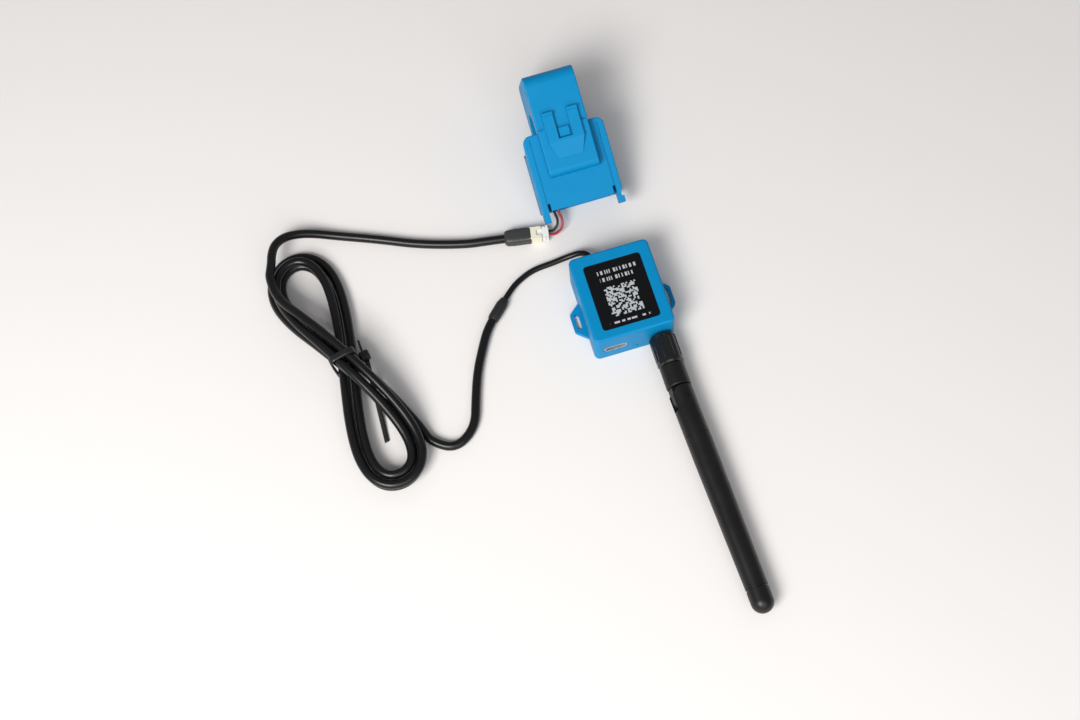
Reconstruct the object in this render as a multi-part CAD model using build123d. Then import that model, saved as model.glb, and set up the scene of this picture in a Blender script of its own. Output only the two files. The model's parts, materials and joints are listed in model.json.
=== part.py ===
from build123d import *
import math
import os

# Smart current transformer: a split-core clamp on a lead, a radio transmitter
# box with a folding whip antenna, and the cable between them, tied in a hank.
# Frame: origin at the centre of the transmitter's base, +Z up, -Y to the antenna.
# All sizes in millimetres.

# General clearances
SEAT = 0.05
RUN = 0.06
SLIDE = 0.15

# Transmitter case
CASE_W = 31.5
CASE_D = 36.0
CASE_H = 16.4
CASE_CORNER = 2.2
CASE_EDGE = 0.9
CASE_WALL = 1.6
BASE_T = 2.0
RIM_H = 1.6
RIM_T = 1.0
LID_T = 1.8
SEAM_Y = 10.8
SEAM_W = 0.5
SEAM_DEPTH = 0.4
EAR_REACH = 4.4
EAR_ROOT = 15.0
EAR_TIP = 7.4
EAR_Y = -1.6
SLOT_L = 6.6
SLOT_W = 1.9
SLOT_INSET = 2.2

# Label
LABEL_W = 22.3
LABEL_D = 27.2
LABEL_Y = -0.6
LABEL_R = 1.4
LABEL_T = 0.3
LABEL_RECESS = 0.2

# Circuit board, posts and screws
BOARD_GAP = (0.35, 0.4)
BOARD_T = 1.0
BOARD_Z = 4.2
POST_IN = 4.15
POST_FROM_BACK = 4.8
POST_FROM_FRONT = 11.0
POST_R = 2.2
SCREW_R = 0.9
SCREW_HEAD_R = 1.7
SCREW_HEAD_H = 1.2
SCREW_BITE = 5.0
SHIELD_SIDES = (8.75, 10.75)
SHIELD_ENDS = (10.5, 13.5)
CHIP_FROM_BACK = 10.7
CAPACITOR_FROM_BACK = 7.5
RECTIFIER_IN = 6.15
STATUS_IN = 5.35

# Charging port
PORT_IN = 8.0
PORT_W = 8.94
PORT_H = 3.26
PORT_L = 7.35
PORT_WALL = 0.3
PORT_LIFT = 0.02
TONGUE_W = 6.6
TONGUE_T = 0.7
TONGUE_L = 4.6
PORT_CLEAR = 0.25

# Reset switch
RESET_X = 0.8
RESET_Z = 3.1
RESET_HOLE_R = 0.6
RESET_BODY = (3.6, 2.8)
PLUNGER_R = 0.5
PLUNGER_L = 1.4
PLUNGER_TRAVEL = 0.25

# Antenna
ANT_IN = 5.75
ANT_Z = 6.2
SOCKET_R = 3.1
SOCKET_BORE_R = 2.3
SOCKET_OUT = 8.0
SOCKET_FLANGE = 6.2
SOCKET_FLANGE_T = 1.8
COLLAR_R = 5.15
COLLAR_L = 12.8
COLLAR_GAP = 0.5
COLLAR_FLUTES = 12
COLLAR_FLUTE_R = 1.5
COLLAR_FLUTE_DEPTH = 0.35
COLLAR_CHAMFER = 0.9
NECK_R = 2.2
NECK_FLANGE_R = 2.9
NECK_FLANGE_T = 0.9
BARREL_R = 4.75
BARREL_L = 13.7
BARREL_GAP = 0.3
TONGUE_THICK = 4.0
KNUCKLE_R = 3.9
FOLD_CLEAR = 0.3
FOLD_TILT = 15.0
FOLD_REST = -2.0
HINGE_PIN_R = 1.0
MAST_STEP = 14.8
MAST_TAPER_FROM = 24.0
MAST_L = 73.8
MAST_END_R = 4.2
MAST_BORE_R = 2.4
MAST_BORE_FROM = 16.0
CAP_L = 10.5
CAP_GROOVE = 0.35
CAP_SPIGOT_L = 3.0
ROD_R = 0.6
ROD_SEAT = 2.5

# Cables
LEAD_D = 2.3
CABLE_D = 3.5
WIRE_D = 1.0
LEAD_IN = 10.25
LEAD_X = LEAD_IN - CASE_W / 2
LEAD_Z = 6.6
LEAD_END = 1.6
GROMMET_LIP = (0.65, 0.8)
FLOOR_LEAD = LEAD_D / 2
FLOOR_CABLE = CABLE_D / 2 + 0.05
SLEEVE_R = 2.25
SLEEVE_WALL_END = 0.35
SLEEVE_FROM = (-42.1, 16.0, 2.3)
SLEEVE_TO = (-49.0, 9.1, 2.3)
SLEEVE_GRIP = 2.6
ARC_SHARE = 0.45

# Hank: figure-eight turns that cross at the tie
HANK_CENTRE = (-108.0, 6.0)
HANK_DIRECTION = (-0.205, 0.9788)
HANK_HALF = 52.0
HANK_WIDE = 19.5
HANK_ROUND = 3.5
HANK_UNEVEN = 0.06
HANK_STEP = 4.1
HANK_LAYER = 4.2
HANK_FIRST = 0.08
HANK_LAST = 3.36
HANK_DROP = (1.54, 1.94)
HANK_LIFT = (0.10, 0.85)
HANK_RISE = 1.2
HANK_ENTRY = 1.3
HANK_SLIDE = 0.14
HANK_SINK = 0.10
HANK_LEAN = (2.0, 0.8)
HANK_BOW = 1.6
HANK_NODES = 20

# Cable tie
TIE_W = 3.0
TIE_T = 1.0
TIE_IN = (-4.4, 6.2)
TIE_TOP = 17.6
TIE_FLOOR = 0.05
TIE_HEAD = (4.0, 3.6, 4.0)
TIE_HEAD_Z = 4.6
TIE_TAIL = ((8.4, -1.6, 5.2), (1.0, -33.0, 0.5))
TIE_TAIL_W = 2.0
TIE_TAIL_T = 0.9
TIE_STUB_L = 7.0

# Connector between cable and clamp
PLUG_DIRECTION = (0.9860, -0.1667)
BOOT_START = (-35.2, 41.1)
BOOT_L = 10.6
BOOT_W = 6.2
BOOT_H = 4.8
HEADER_L = 5.4
HEADER_W = 5.0
HEADER_H = 4.2
HEADER_WALL = 0.6
HEADER_IN_BOOT = 1.4
PLUG_L = 6.0
PLUG_MATED = 3.2
PLUG_CLEAR = 0.12
CONTACT_R = 0.32
CONTACT_PITCH = 2.0
WIRE_PITCH = 1.5
WIRE_SLOT = (3.2, 1.6, 0.8)

# Clamp: local axes are X along the conductor, Y to the jaw, Z out of the latch face
CT_PLACE = (-2.4, 73.4, 17.64)
CT_TILT = 25.0
CORE_W = 20.0
HALF_T = 14.5
JAW_H = 21.4
JAW_ROUND = 4.6
CLAMP_WALL = 1.5
BORE_R = 8.0
BORE_WALL = 1.2
BLOCK_H = 18.7
BACK_FACET = 0.05
FACET_WALL = 0.6
WIDE_W = 32.4
WIDE_TOP = 0.6
WIDE_END = 30.8
WIDE_BACK = -5.0
WIDE_FRONT = 10.0
WIDE_CORNER = 3.0
SIDE_WALL = 2.4
END_INSET = 3.4
END_WALL = 1.6
LEG_W = 2.4
LEG_REACH = 4.2
LEG_LOW = 4.0
LEG_SLIT = 1.2
LEG_SLIT_L = 3.0
NOTCH = 0.9
PLATE_GROOVE = (0.45, 0.35)
PARTING_NOTCH = (2.4, 0.5, 0.6)
CORE_SOFT = 2.6
SPLIT = 2.5
PARTING = 0.03
SHELL_EDGE = 0.5

# Clamp core, bobbin and winding
IRON_W = 12.8
IRON_T = 3.3
IRON_IN = 9.6
LOWER_YOKE = 11.3
UPPER_YOKE = 11.6
BOBBIN_T = 0.5
FLANGE_T = 0.8
COIL_T = 1.1
PAD_INSET = (0.4, 1.1)
FAR = 200.0
TERMINAL_D = 6.4
TERMINAL_T = 1.0
TERMINAL_LIFT = 2.6

# Clamp hinge and latch
HINGE_Z = -16.7
HINGE_R = 2.5
HINGE_PIN = 0.9
HINGE_GAP = 0.25
JAW_KNUCKLE = 8.4
LATCH_PRONG = 4.2
LATCH_GAP = 5.6
LATCH_UP = 5.6
LATCH_ROOT = 12.5
LATCH_JOIN = 5.2
LATCH_T = 1.6
LATCH_BAR = (1.1, 0.6)
LATCH_TOE = 0.15
LATCH_FOOT = 4.8
LATCH_LIFT = 0.12
CATCH = 4.0
CATCH_T = 1.0
LUG_T = 0.06


def block(x, y, z):
    """A box from its low and high limits on each axis."""
    size = [b - a for a, b in (x, y, z)]
    middle = [(a + b) / 2 for a, b in (x, y, z)]
    return Pos(*middle) * Box(*size)


def rod(start, end, radius):
    """A round bar between two points."""
    line = Line(start, end)
    return sweep(Plane(origin=start, z_dir=line % 0) * Circle(radius), path=line)


def save(shape, name):
    """Write one sub-part to its own file."""
    shape = shape if isinstance(shape, Compound) else Compound([shape])
    export_step(Compound(children=list(shape.solids())), f"parts/{name}.step")


def lift(shape, place):
    """The shape moved by a location, as a compound of its solids."""
    return Compound(children=[place * s for s in shape.solids()])


def arc_radii(points):
    """One arc radius for each corner, 0.45 of its shorter run over tan(half turn)."""
    radii = []
    for before, here, after in zip(points, points[1:], points[2:]):
        a = Vector(*here) - Vector(*before)
        b = Vector(*after) - Vector(*here)
        half_turn = math.radians(a.get_angle(b)) / 2
        radii.append(ARC_SHARE * min(a.length, b.length) / math.tan(half_turn))
    return radii


def tube(points, diameter, name):
    """A cable along straight runs joined by tangent arcs."""
    radii = arc_radii(points)
    path = FilletPolyline(*points, radius=radii)
    body = sweep(Plane(origin=path @ 0, z_dir=path % 0) * Circle(diameter / 2), path=path)
    section = math.pi * diameter ** 2 / 4
    print(name, "length", round(path.length, 1), "volume/section*length",
          round(body.volume / section / path.length, 4), "radii", [round(r, 1) for r in radii])
    return body


# Transmitter

BOARD_TOP = BOARD_Z + BOARD_T
FRONT = -CASE_D / 2
BACK = CASE_D / 2
BOARD_W = CASE_W - 2 * (CASE_WALL + BOARD_GAP[0])
BOARD_D = CASE_D - 2 * (CASE_WALL + BOARD_GAP[1])
PORT_X = -CASE_W / 2 + PORT_IN
ANT_X = CASE_W / 2 - ANT_IN
POSTS = [(sx * (CASE_W / 2 - POST_IN), y) for sx in (-1, 1)
         for y in (FRONT + POST_FROM_FRONT, BACK - POST_FROM_BACK)]
PORT_Z = BOARD_TOP + PORT_LIFT + PORT_H / 2
CABLE_HOLE_R = LEAD_D / 2 + 1.1
SOCKET_FACE = FRONT + CASE_WALL + SEAT
SOCKET_BACK = SOCKET_FACE + SOCKET_FLANGE_T


def case_outline(inset=0.0):
    """The case's plan, drawn in by an inset."""
    return RectangleRounded(CASE_W - 2 * inset, CASE_D - 2 * inset, max(CASE_CORNER - inset, 0.4))


def base_case():
    """Base plate with a locating rim, board posts and two slotted ears."""
    plate = extrude(case_outline(), BASE_T)
    half = CASE_W / 2
    for side in (-1, 1):
        corners = [(side * (half - 1), EAR_Y - EAR_ROOT / 2), (side * half, EAR_Y - EAR_ROOT / 2),
                   (side * (half + EAR_REACH), EAR_Y - EAR_TIP / 2),
                   (side * (half + EAR_REACH), EAR_Y + EAR_TIP / 2),
                   (side * half, EAR_Y + EAR_ROOT / 2), (side * (half - 1), EAR_Y + EAR_ROOT / 2)]
        ear = extrude(make_face(Polyline(*corners, close=True)), BASE_T)
        outer = ear.edges().filter_by(Axis.Z).sort_by(Axis.X)
        outer = outer[-2:] if side > 0 else outer[:2]
        ear = fillet(outer, 1.6)
        slot = Pos(side * (half + SLOT_INSET), EAR_Y) * Rot(0, 0, 90) * SlotOverall(SLOT_L, SLOT_W)
        plate = plate + ear - extrude(slot, BASE_T)
    rim_out = CASE_WALL + SLIDE
    rim = extrude(case_outline(rim_out), RIM_H) - extrude(case_outline(rim_out + RIM_T), RIM_H)
    plate += Pos(0, 0, BASE_T) * rim
    for x, y in POSTS:
        plate += Pos(x, y, BASE_T) * Cylinder(POST_R, BOARD_Z - BASE_T - SEAT,
                                              align=(Align.CENTER, Align.CENTER, Align.MIN))
    for x, y in POSTS:
        plate -= Pos(x, y) * Cylinder(SCREW_R + SLIDE, 2 * BOARD_Z)
        plate -= Pos(x, y) * Cylinder(SCREW_HEAD_R + SLIDE, 2 * SCREW_HEAD_H)
    half = SOCKET_FLANGE / 2 + SLIDE
    plate -= block((ANT_X - half, CASE_W / 2), (FRONT, SOCKET_BACK + 3.2), (BASE_T, CASE_H))
    channel = PLUNGER_R + 2 * SLIDE
    plate -= block((RESET_X - channel, RESET_X + channel), (FRONT, FRONT + 4), (RESET_Z - channel, CASE_H))
    return plate


def top_case():
    """Lid and walls in one shell, with the openings for port, antenna, cable and reset."""
    shell = extrude(case_outline(), CASE_H - BASE_T)
    shell = fillet(shell.faces().sort_by(Axis.Z)[-1].edges(), CASE_EDGE)
    hollow = extrude(case_outline(CASE_WALL), CASE_H - BASE_T - LID_T)
    shell = Pos(0, 0, BASE_T) * (shell - hollow)
    for x, y in POSTS:
        post = block((-POST_R, POST_R), (-POST_R, POST_R), (BOARD_TOP + SEAT, CASE_H - LID_T))
        post = Pos(x, y) * fillet(post.edges().filter_by(Axis.Z), 0.8)
        shell += post
        shell -= Pos(x, y, BOARD_TOP) * Cylinder(SCREW_R, 2 * SCREW_BITE)
    recess = extrude(RectangleRounded(LABEL_W + 2 * SLIDE, LABEL_D + 2 * SLIDE, LABEL_R), LABEL_RECESS)
    shell -= Pos(0, LABEL_Y, CASE_H - LABEL_RECESS) * recess
    mouth = RectangleRounded(PORT_W + 2 * PORT_CLEAR, PORT_H + 2 * PORT_CLEAR, PORT_H / 2)
    port = Plane(origin=(PORT_X, FRONT + CASE_WALL + 1, PORT_Z), x_dir=(1, 0, 0), z_dir=(0, -1, 0))
    shell -= extrude(port * mouth, 4)
    shell -= rod((ANT_X, FRONT + CASE_WALL + 1, ANT_Z), (ANT_X, FRONT - 1, ANT_Z), SOCKET_R + SLIDE)
    shell -= rod((RESET_X, FRONT + CASE_WALL + 1, RESET_Z), (RESET_X, FRONT - 1, RESET_Z), RESET_HOLE_R)
    shell -= rod((LEAD_X, BACK - CASE_WALL - 1, LEAD_Z), (LEAD_X, BACK + 1, LEAD_Z), CABLE_HOLE_R)
    shell -= block((-CASE_W / 2 - 1, -CASE_W / 2 + SEAM_DEPTH), (SEAM_Y - SEAM_W / 2, SEAM_Y + SEAM_W / 2),
                   (BASE_T, CASE_H - LID_T))
    return shell


def label_plate():
    """Thin label laid in the lid's recess."""
    plate = extrude(RectangleRounded(LABEL_W, LABEL_D, LABEL_R - SLIDE), LABEL_T)
    return Pos(0, LABEL_Y, CASE_H - LABEL_RECESS) * plate


def circuit_board():
    """Board held between the base posts and the lid posts."""
    board = Pos(0, 0, BOARD_Z) * extrude(RectangleRounded(BOARD_W, BOARD_D, 1.0), BOARD_T)
    for x, y in POSTS:
        board -= Pos(x, y, BOARD_Z) * Cylinder(SCREW_R + SLIDE, 4 * BOARD_T)
    half = SOCKET_FLANGE / 2 + SLIDE
    return board - block((ANT_X - half, BOARD_W), (FRONT, SOCKET_BACK + SEAT), (0, CASE_H))


def on_board(x, y, size_x, size_y, height, edge=0.25):
    """A component standing on the board, with rounded upright edges."""
    body = block((x - size_x / 2, x + size_x / 2), (y - size_y / 2, y + size_y / 2),
                 (BOARD_TOP, BOARD_TOP + height))
    return fillet(body.edges().filter_by(Axis.Z), edge)


def radio_shield():
    """Shield can over the radio, clear of its neighbours on all four sides."""
    left, right = SHIELD_SIDES[0] - CASE_W / 2, CASE_W / 2 - SHIELD_SIDES[1]
    front, back = FRONT + SHIELD_ENDS[0], BACK - SHIELD_ENDS[1]
    return on_board((left + right) / 2, (front + back) / 2, right - left, back - front, 2.4, 0.6)


def usb_shell():
    """Folded metal shell of the charging port."""
    outer = RectangleRounded(PORT_W, PORT_H, PORT_H / 2 - 0.05)
    inner = RectangleRounded(PORT_W - 2 * PORT_WALL, PORT_H - 2 * PORT_WALL, PORT_H / 2 - PORT_WALL - 0.05)
    face = Plane(origin=(PORT_X, FRONT + 0.1, PORT_Z), x_dir=(1, 0, 0), z_dir=(0, 1, 0))
    return extrude(face * outer, PORT_L) - extrude(face * inner, PORT_L - 1.0)


def usb_tongue():
    """Insulating tongue with its contacts' land, standing on the shell's back wall."""
    back = FRONT + 0.1 + PORT_L - 1.0
    return block((PORT_X - TONGUE_W / 2, PORT_X + TONGUE_W / 2), (back - TONGUE_L, back),
                 (PORT_Z - TONGUE_T / 2, PORT_Z + TONGUE_T / 2))


RESET_FRONT = FRONT + CASE_WALL + SLIDE + RIM_T + 1.2


def reset_switch():
    """Side-press switch under the board, behind the pinhole."""
    width, depth = RESET_BODY
    body = block((RESET_X - width / 2, RESET_X + width / 2), (RESET_FRONT, RESET_FRONT + depth),
                 (RESET_Z - 0.95, BOARD_Z))
    travel = PLUNGER_TRAVEL + SLIDE + PLUNGER_L / 2
    return body - rod((RESET_X, RESET_FRONT - 1, RESET_Z), (RESET_X, RESET_FRONT + travel, RESET_Z),
                      PLUNGER_R + RUN)


def reset_plunger():
    """Plunger that the pinhole leads to."""
    return rod((RESET_X, RESET_FRONT - PLUNGER_L / 2, RESET_Z), (RESET_X, RESET_FRONT + PLUNGER_L / 2, RESET_Z),
               PLUNGER_R)


def case_screws():
    """Four screws from below, through base and board into the lid posts."""
    screws = []
    for x, y in POSTS:
        shank = Pos(x, y) * Cylinder(SCREW_R, BOARD_TOP + SCREW_BITE - 0.6 - 0.2,
                                     align=(Align.CENTER, Align.CENTER, Align.MIN))
        head = Cylinder(SCREW_HEAD_R, SCREW_HEAD_H - 0.2, align=(Align.CENTER, Align.CENTER, Align.MIN))
        head -= Box(2.2, 0.5, 1.0) + Box(0.5, 2.2, 1.0)
        screws.append(Pos(0, 0, 0.2) * (shank + Pos(x, y) * head
                                        - Pos(x, y) * (Box(2.2, 0.5, 1.0) + Box(0.5, 2.2, 1.0))))
    return Compound(children=[s for screw in screws for s in screw.solids()])


def along(start, end, radius):
    """A bar on the antenna's axis from one y to another."""
    return rod((ANT_X, start, ANT_Z), (ANT_X, end, ANT_Z), radius)


def antenna_socket():
    """Coaxial socket: square flange inside the wall, threaded barrel outside."""
    half = SOCKET_FLANGE / 2
    body = block((ANT_X - half, ANT_X + half), (SOCKET_FACE, SOCKET_BACK), (ANT_Z - half, ANT_Z + half))
    for side in (-1, 1):
        inner, outer = ANT_X + side * (half - 1.0), ANT_X + side * half
        for low, high in ((BOARD_TOP, BOARD_TOP + 1.0), (BOARD_Z - 0.9, BOARD_Z)):
            body += block((min(inner, outer), max(inner, outer)), (SOCKET_BACK - 0.5, SOCKET_BACK + 3.0),
                          (low, high))
    barrel = along(SOCKET_FACE + 0.3, FRONT - SOCKET_OUT, SOCKET_R)
    return body + barrel - along(SOCKET_FACE + 0.8, FRONT - SOCKET_OUT - 1, SOCKET_BORE_R)


def socket_insulator():
    """Insulator that holds the socket's centre contact."""
    return (along(SOCKET_FACE + 0.8, FRONT - 3.0, SOCKET_BORE_R)
            - along(SOCKET_FACE + 1, FRONT - 4.0, 0.65))


def socket_contact():
    """Centre contact sleeve of the socket."""
    return (along(SOCKET_FACE + 0.8, FRONT - 4.6, 0.65)
            - along(FRONT - 1.0, FRONT - 5.0, 0.4))


# Antenna, built along -Y about its own axis, then set at the socket

COLLAR_TOP = FRONT - COLLAR_GAP
COLLAR_END = COLLAR_TOP - COLLAR_L
FLANGE_TOP = FRONT - SOCKET_OUT - 0.6
NECK_STEP = FLANGE_TOP - NECK_FLANGE_T
BARREL_TOP = COLLAR_END - BARREL_GAP
PIN_Y = BARREL_TOP - BARREL_L
FOLD_SIDE = (-math.cos(math.radians(FOLD_TILT)), 0, math.sin(math.radians(FOLD_TILT)))


def antenna_collar():
    """Fluted coupling collar that turns on the socket."""
    body = along(COLLAR_TOP, COLLAR_END, COLLAR_R)
    body = chamfer(body.edges().filter_by(GeomType.CIRCLE), COLLAR_CHAMFER)
    for i in range(COLLAR_FLUTES):
        angle = 2 * math.pi * i / COLLAR_FLUTES
        reach = COLLAR_R + COLLAR_FLUTE_R - COLLAR_FLUTE_DEPTH
        x = ANT_X + reach * math.cos(angle)
        z = ANT_Z + reach * math.sin(angle)
        body -= rod((x, COLLAR_TOP - 1.6, z), (x, COLLAR_END + 2.4, z), COLLAR_FLUTE_R)
    body -= along(COLLAR_TOP + 1, NECK_STEP, SOCKET_R + RUN)
    return body - along(NECK_STEP + 1, COLLAR_END - 1, NECK_R + RUN)


def pin_frame():
    """Plane at the fold pin: x to the fold side, y back to the case, z along the pin."""
    return Plane(origin=(ANT_X, PIN_Y, ANT_Z), x_dir=FOLD_SIDE,
                 z_dir=Vector(*FOLD_SIDE).cross(Vector(0, 1, 0)))


def antenna_base():
    """Swivel barrel: neck in the collar, tongue at the fold pin."""
    pin = pin_frame().location
    reach = BARREL_R + FOLD_CLEAR
    body = along(BARREL_TOP, PIN_Y + reach, BARREL_R)
    body = fillet(body.edges().filter_by(GeomType.CIRCLE).sort_by(Axis.Y)[0], 0.5)
    tongue = Cylinder(KNUCKLE_R, TONGUE_THICK)
    tongue += block((-KNUCKLE_R, KNUCKLE_R), (0, reach + 1), (-TONGUE_THICK / 2, TONGUE_THICK / 2))
    body += (pin * tongue) & along(BARREL_TOP, PIN_Y - 8, BARREL_R)
    body += along(BARREL_TOP - 1, NECK_STEP + 0.3, NECK_R)
    body += along(NECK_STEP + 0.1, FLANGE_TOP - 0.05, NECK_FLANGE_R)
    body -= pin * Cylinder(HINGE_PIN_R + RUN, 20)
    return body - along(FLANGE_TOP + 1, FLANGE_TOP - 4.0, 0.45)


def antenna_pin():
    """Centre pin of the antenna's plug, held in the neck."""
    return along(FRONT - 1.6, FLANGE_TOP - 3.9, 0.33) + along(FLANGE_TOP - 0.6, FLANGE_TOP - 3.9, 0.45)


def antenna_hinge_pin():
    """Fold pin across fork and tongue."""
    return pin_frame().location * Cylinder(HINGE_PIN_R, 2 * BARREL_R - 0.9)


def antenna_mast():
    """Whip sleeve with its fork, a step, a taper and a hollow for the radiator."""
    taper = [(0, PIN_Y + BARREL_R), (BARREL_R - 0.4, PIN_Y + BARREL_R), (BARREL_R, PIN_Y + BARREL_R - 0.4),
             (BARREL_R, PIN_Y - MAST_TAPER_FROM),
             (MAST_END_R, PIN_Y - MAST_L), (0, PIN_Y - MAST_L)]
    profile = Pos(ANT_X, 0, ANT_Z) * make_face(Polyline(*taper, close=True))
    body = revolve(profile, Axis((ANT_X, 0, ANT_Z), (0, 1, 0)), 360)
    pin = pin_frame().location
    head = Cylinder(BARREL_R, 20) + block((-10, 10), (-MAST_L - 10, 0), (-10, 10))
    head += block((-10, 0), (-1, BARREL_R + 1), (-10, 10))
    body = body & (pin * head)
    slot = TONGUE_THICK / 2 + FOLD_CLEAR / 2
    cut = KNUCKLE_R + FOLD_CLEAR
    body -= pin * (Cylinder(cut, 2 * slot) + block((-cut, 10), (0, 10), (-slot, slot))
                   + block((0, 10), (-cut, 1), (-slot, slot)))
    body -= pin * Cylinder(HINGE_PIN_R + SEAT / 5, 20)
    groove = along(PIN_Y - MAST_STEP, PIN_Y - MAST_STEP - 0.5, BARREL_R + 1)
    body -= groove - along(PIN_Y - MAST_STEP + 1, PIN_Y - MAST_STEP - 2, BARREL_R - 0.2)
    body -= along(PIN_Y - MAST_BORE_FROM, PIN_Y - MAST_L - 1, MAST_BORE_R)
    return body - along(PIN_Y - MAST_BORE_FROM + ROD_SEAT, PIN_Y - MAST_BORE_FROM - 1, ROD_R + SEAT / 5)


def antenna_tip():
    """Domed tip plugged into the sleeve, with a groove round it."""
    end = PIN_Y - MAST_L
    length = CAP_L - MAST_END_R
    body = along(end - SEAT, end - length, MAST_END_R)
    body += Pos(ANT_X, end - length, ANT_Z) * Sphere(MAST_END_R)
    body -= (along(end - 0.9, end - 1.7, MAST_END_R + 1)
             - along(end, end - 3, MAST_END_R - CAP_GROOVE))
    return body + along(end + CAP_SPIGOT_L, end - 0.5, MAST_BORE_R - SEAT / 5)


def antenna_radiator():
    """Brass radiator seated in the sleeve."""
    return along(PIN_Y - MAST_BORE_FROM + ROD_SEAT, PIN_Y - MAST_L + CAP_SPIGOT_L + 0.3, ROD_R)


# Cable, hank and tie

ACROSS = (HANK_DIRECTION[1], -HANK_DIRECTION[0])


def hank_world(a, b, z):
    """A point a along the hank and b across it, in the common frame."""
    x = HANK_CENTRE[0] + a * HANK_DIRECTION[0] + b * ACROSS[0]
    y = HANK_CENTRE[1] + a * HANK_DIRECTION[1] + b * ACROSS[1]
    return (x, y, z)


def smooth(x):
    """From 0 to 1 with level ends as x goes from 0 to 1."""
    x = min(max(x, 0.0), 1.0)
    return x * x * (3 - 2 * x)


def hank_outline(angle):
    """One turn: a figure of eight along the hank, crossing itself at the tie."""
    c = math.cos(angle)
    width = c * (HANK_WIDE + HANK_ROUND * c ** 2) * (1 - HANK_UNEVEN * c)
    return HANK_HALF * c, -math.sin(angle) * width


def hank_point(turns):
    """The cable's centre after a number of turns. The turns shift sideways by a step each, on an
    upper layer and then back on the lower one. The upper layer leans into both loops, and the
    upper loop bows out at its left. Each downward pass is lifted over the upward passes at the
    crossing, and the first stretch comes in over the outer turns."""
    angle = 2 * math.pi * turns
    step = 1e-4
    a, b = hank_outline(angle)
    a2, b2 = hank_outline(angle + step)
    speed = math.hypot(a2 - a, b2 - b)
    inward = (b2 - b) / speed, -(a2 - a) / speed
    fall = smooth((turns - HANK_DROP[0]) / (HANK_DROP[1] - HANK_DROP[0]))
    entry = HANK_ENTRY * (1 - smooth((turns - HANK_FIRST) / HANK_SLIDE))
    ring = min(turns - HANK_FIRST, HANK_LAST - turns) - (HANK_LAST - HANK_FIRST) / 4
    shift = -HANK_STEP * (ring + entry) + HANK_LEAN[0 if a > 0 else 1] * (1 - fall) * math.cos(angle)
    if a > 0 and b < 0:
        shift -= HANK_BOW * math.sin(2 * angle) ** 2
    sink = smooth((turns - HANK_FIRST - 0.5 * HANK_SLIDE) / HANK_SINK)
    over = 1 - smooth((abs(math.cos(angle)) - HANK_LIFT[0]) / (HANK_LIFT[1] - HANK_LIFT[0]))
    over = 2 * over if math.sin(angle) > 0 else 0.0
    height = FLOOR_CABLE + HANK_LAYER * (1 - fall + 1 - sink + over) + HANK_RISE * math.sin(angle) ** 4
    return Vector(*hank_world(a + inward[0] * shift, b + inward[1] * shift, height))


def hank_tangent(turns):
    """Direction of the cable at that point."""
    step = 1e-5
    return (hank_point(turns + step) - hank_point(turns - step)).normalized()


def biarc(start, leave, end, arrive):
    """Two tangent arcs from one point and direction to the next."""
    chord = end - start
    both = leave + arrive
    slack = 2 * (1 - leave.dot(arrive))
    run = chord.dot(both)
    reach = (-run + math.sqrt(run * run + slack * chord.dot(chord))) / slack
    first = start + leave * reach
    last = end - arrive * reach
    middle = (first + last) * 0.5
    return [TangentArc(start, middle, tangent=leave),
            TangentArc(middle, end, tangent=(last - first).normalized())]


def hank_edges():
    """The hank's centre line, with a straight end of one diameter at each side."""
    count = round((HANK_LAST - HANK_FIRST) * HANK_NODES)
    turns = [HANK_FIRST + (HANK_LAST - HANK_FIRST) * i / count for i in range(count + 1)]
    points = [hank_point(t) for t in turns]
    ways = [hank_tangent(t) for t in turns]
    edges = [Line(points[0] - ways[0] * CABLE_D, points[0])]
    for i in range(count):
        edges += biarc(points[i], ways[i], points[i + 1], ways[i + 1])
    edges.append(Line(points[-1], points[-1] + ways[-1] * CABLE_D))
    return edges


def print_self_gap(edges):
    """The least gap between stretches of the hank that lie more than four diameters apart."""
    samples = []
    travelled = 0.0
    for edge in edges:
        count = max(2, int(edge.length / 1.2))
        for i in range(count):
            samples.append((travelled + edge.length * i / count, edge @ (i / count)))
        travelled += edge.length
    least = 1e9
    for i, (s, p) in enumerate(samples):
        for s2, q in samples[i + 1:]:
            if s2 - s > 4 * CABLE_D:
                least = min(least, (p - q).length)
    print("hank length", round(travelled, 1), "least self gap", round(least - CABLE_D, 2))


def cable_hank():
    """The looped cable as one unbroken tube."""
    edges = hank_edges()
    print_self_gap(edges)
    path = Wire(edges)
    return sweep(Plane(origin=path @ 0, z_dir=path % 0) * Circle(CABLE_D / 2), path=path)


HANK_IN = hank_point(HANK_FIRST) - hank_tangent(HANK_FIRST) * CABLE_D
HANK_OUT = hank_point(HANK_LAST) + hank_tangent(HANK_LAST) * CABLE_D

PLUG_WAY = Vector(PLUG_DIRECTION[0], PLUG_DIRECTION[1], 0).normalized()
PLUG_Z = BOOT_H / 2 + 0.02
BOOT_ORIGIN = Vector(BOOT_START[0], BOOT_START[1], PLUG_Z)
LEAVE = hank_tangent(HANK_FIRST) * -1
HANK_UP_ROUTE = [tuple(HANK_IN), tuple(HANK_IN + LEAVE * 3.0), (-124.5, 58.6, 9.8), (-122.7, 63.0, 8.8),
                 (-119.2, 66.0, 7.3), (-114.4, 67.2, 5.5), (-107.8, 66.5, 3.7), (-98.4, 63.1, 2.0),
                 (-82.9, 56.6, 1.8), (-68.4, 49.6, 1.8),
                 tuple(BOOT_ORIGIN - PLUG_WAY * 16.0 - Vector(0, 0, 0.4)),
                 tuple(BOOT_ORIGIN - PLUG_WAY * 6.0), tuple(BOOT_ORIGIN + PLUG_WAY * 2.5)]
SLEEVE_WAY = (Vector(*SLEEVE_TO) - Vector(*SLEEVE_FROM)).normalized()
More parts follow.
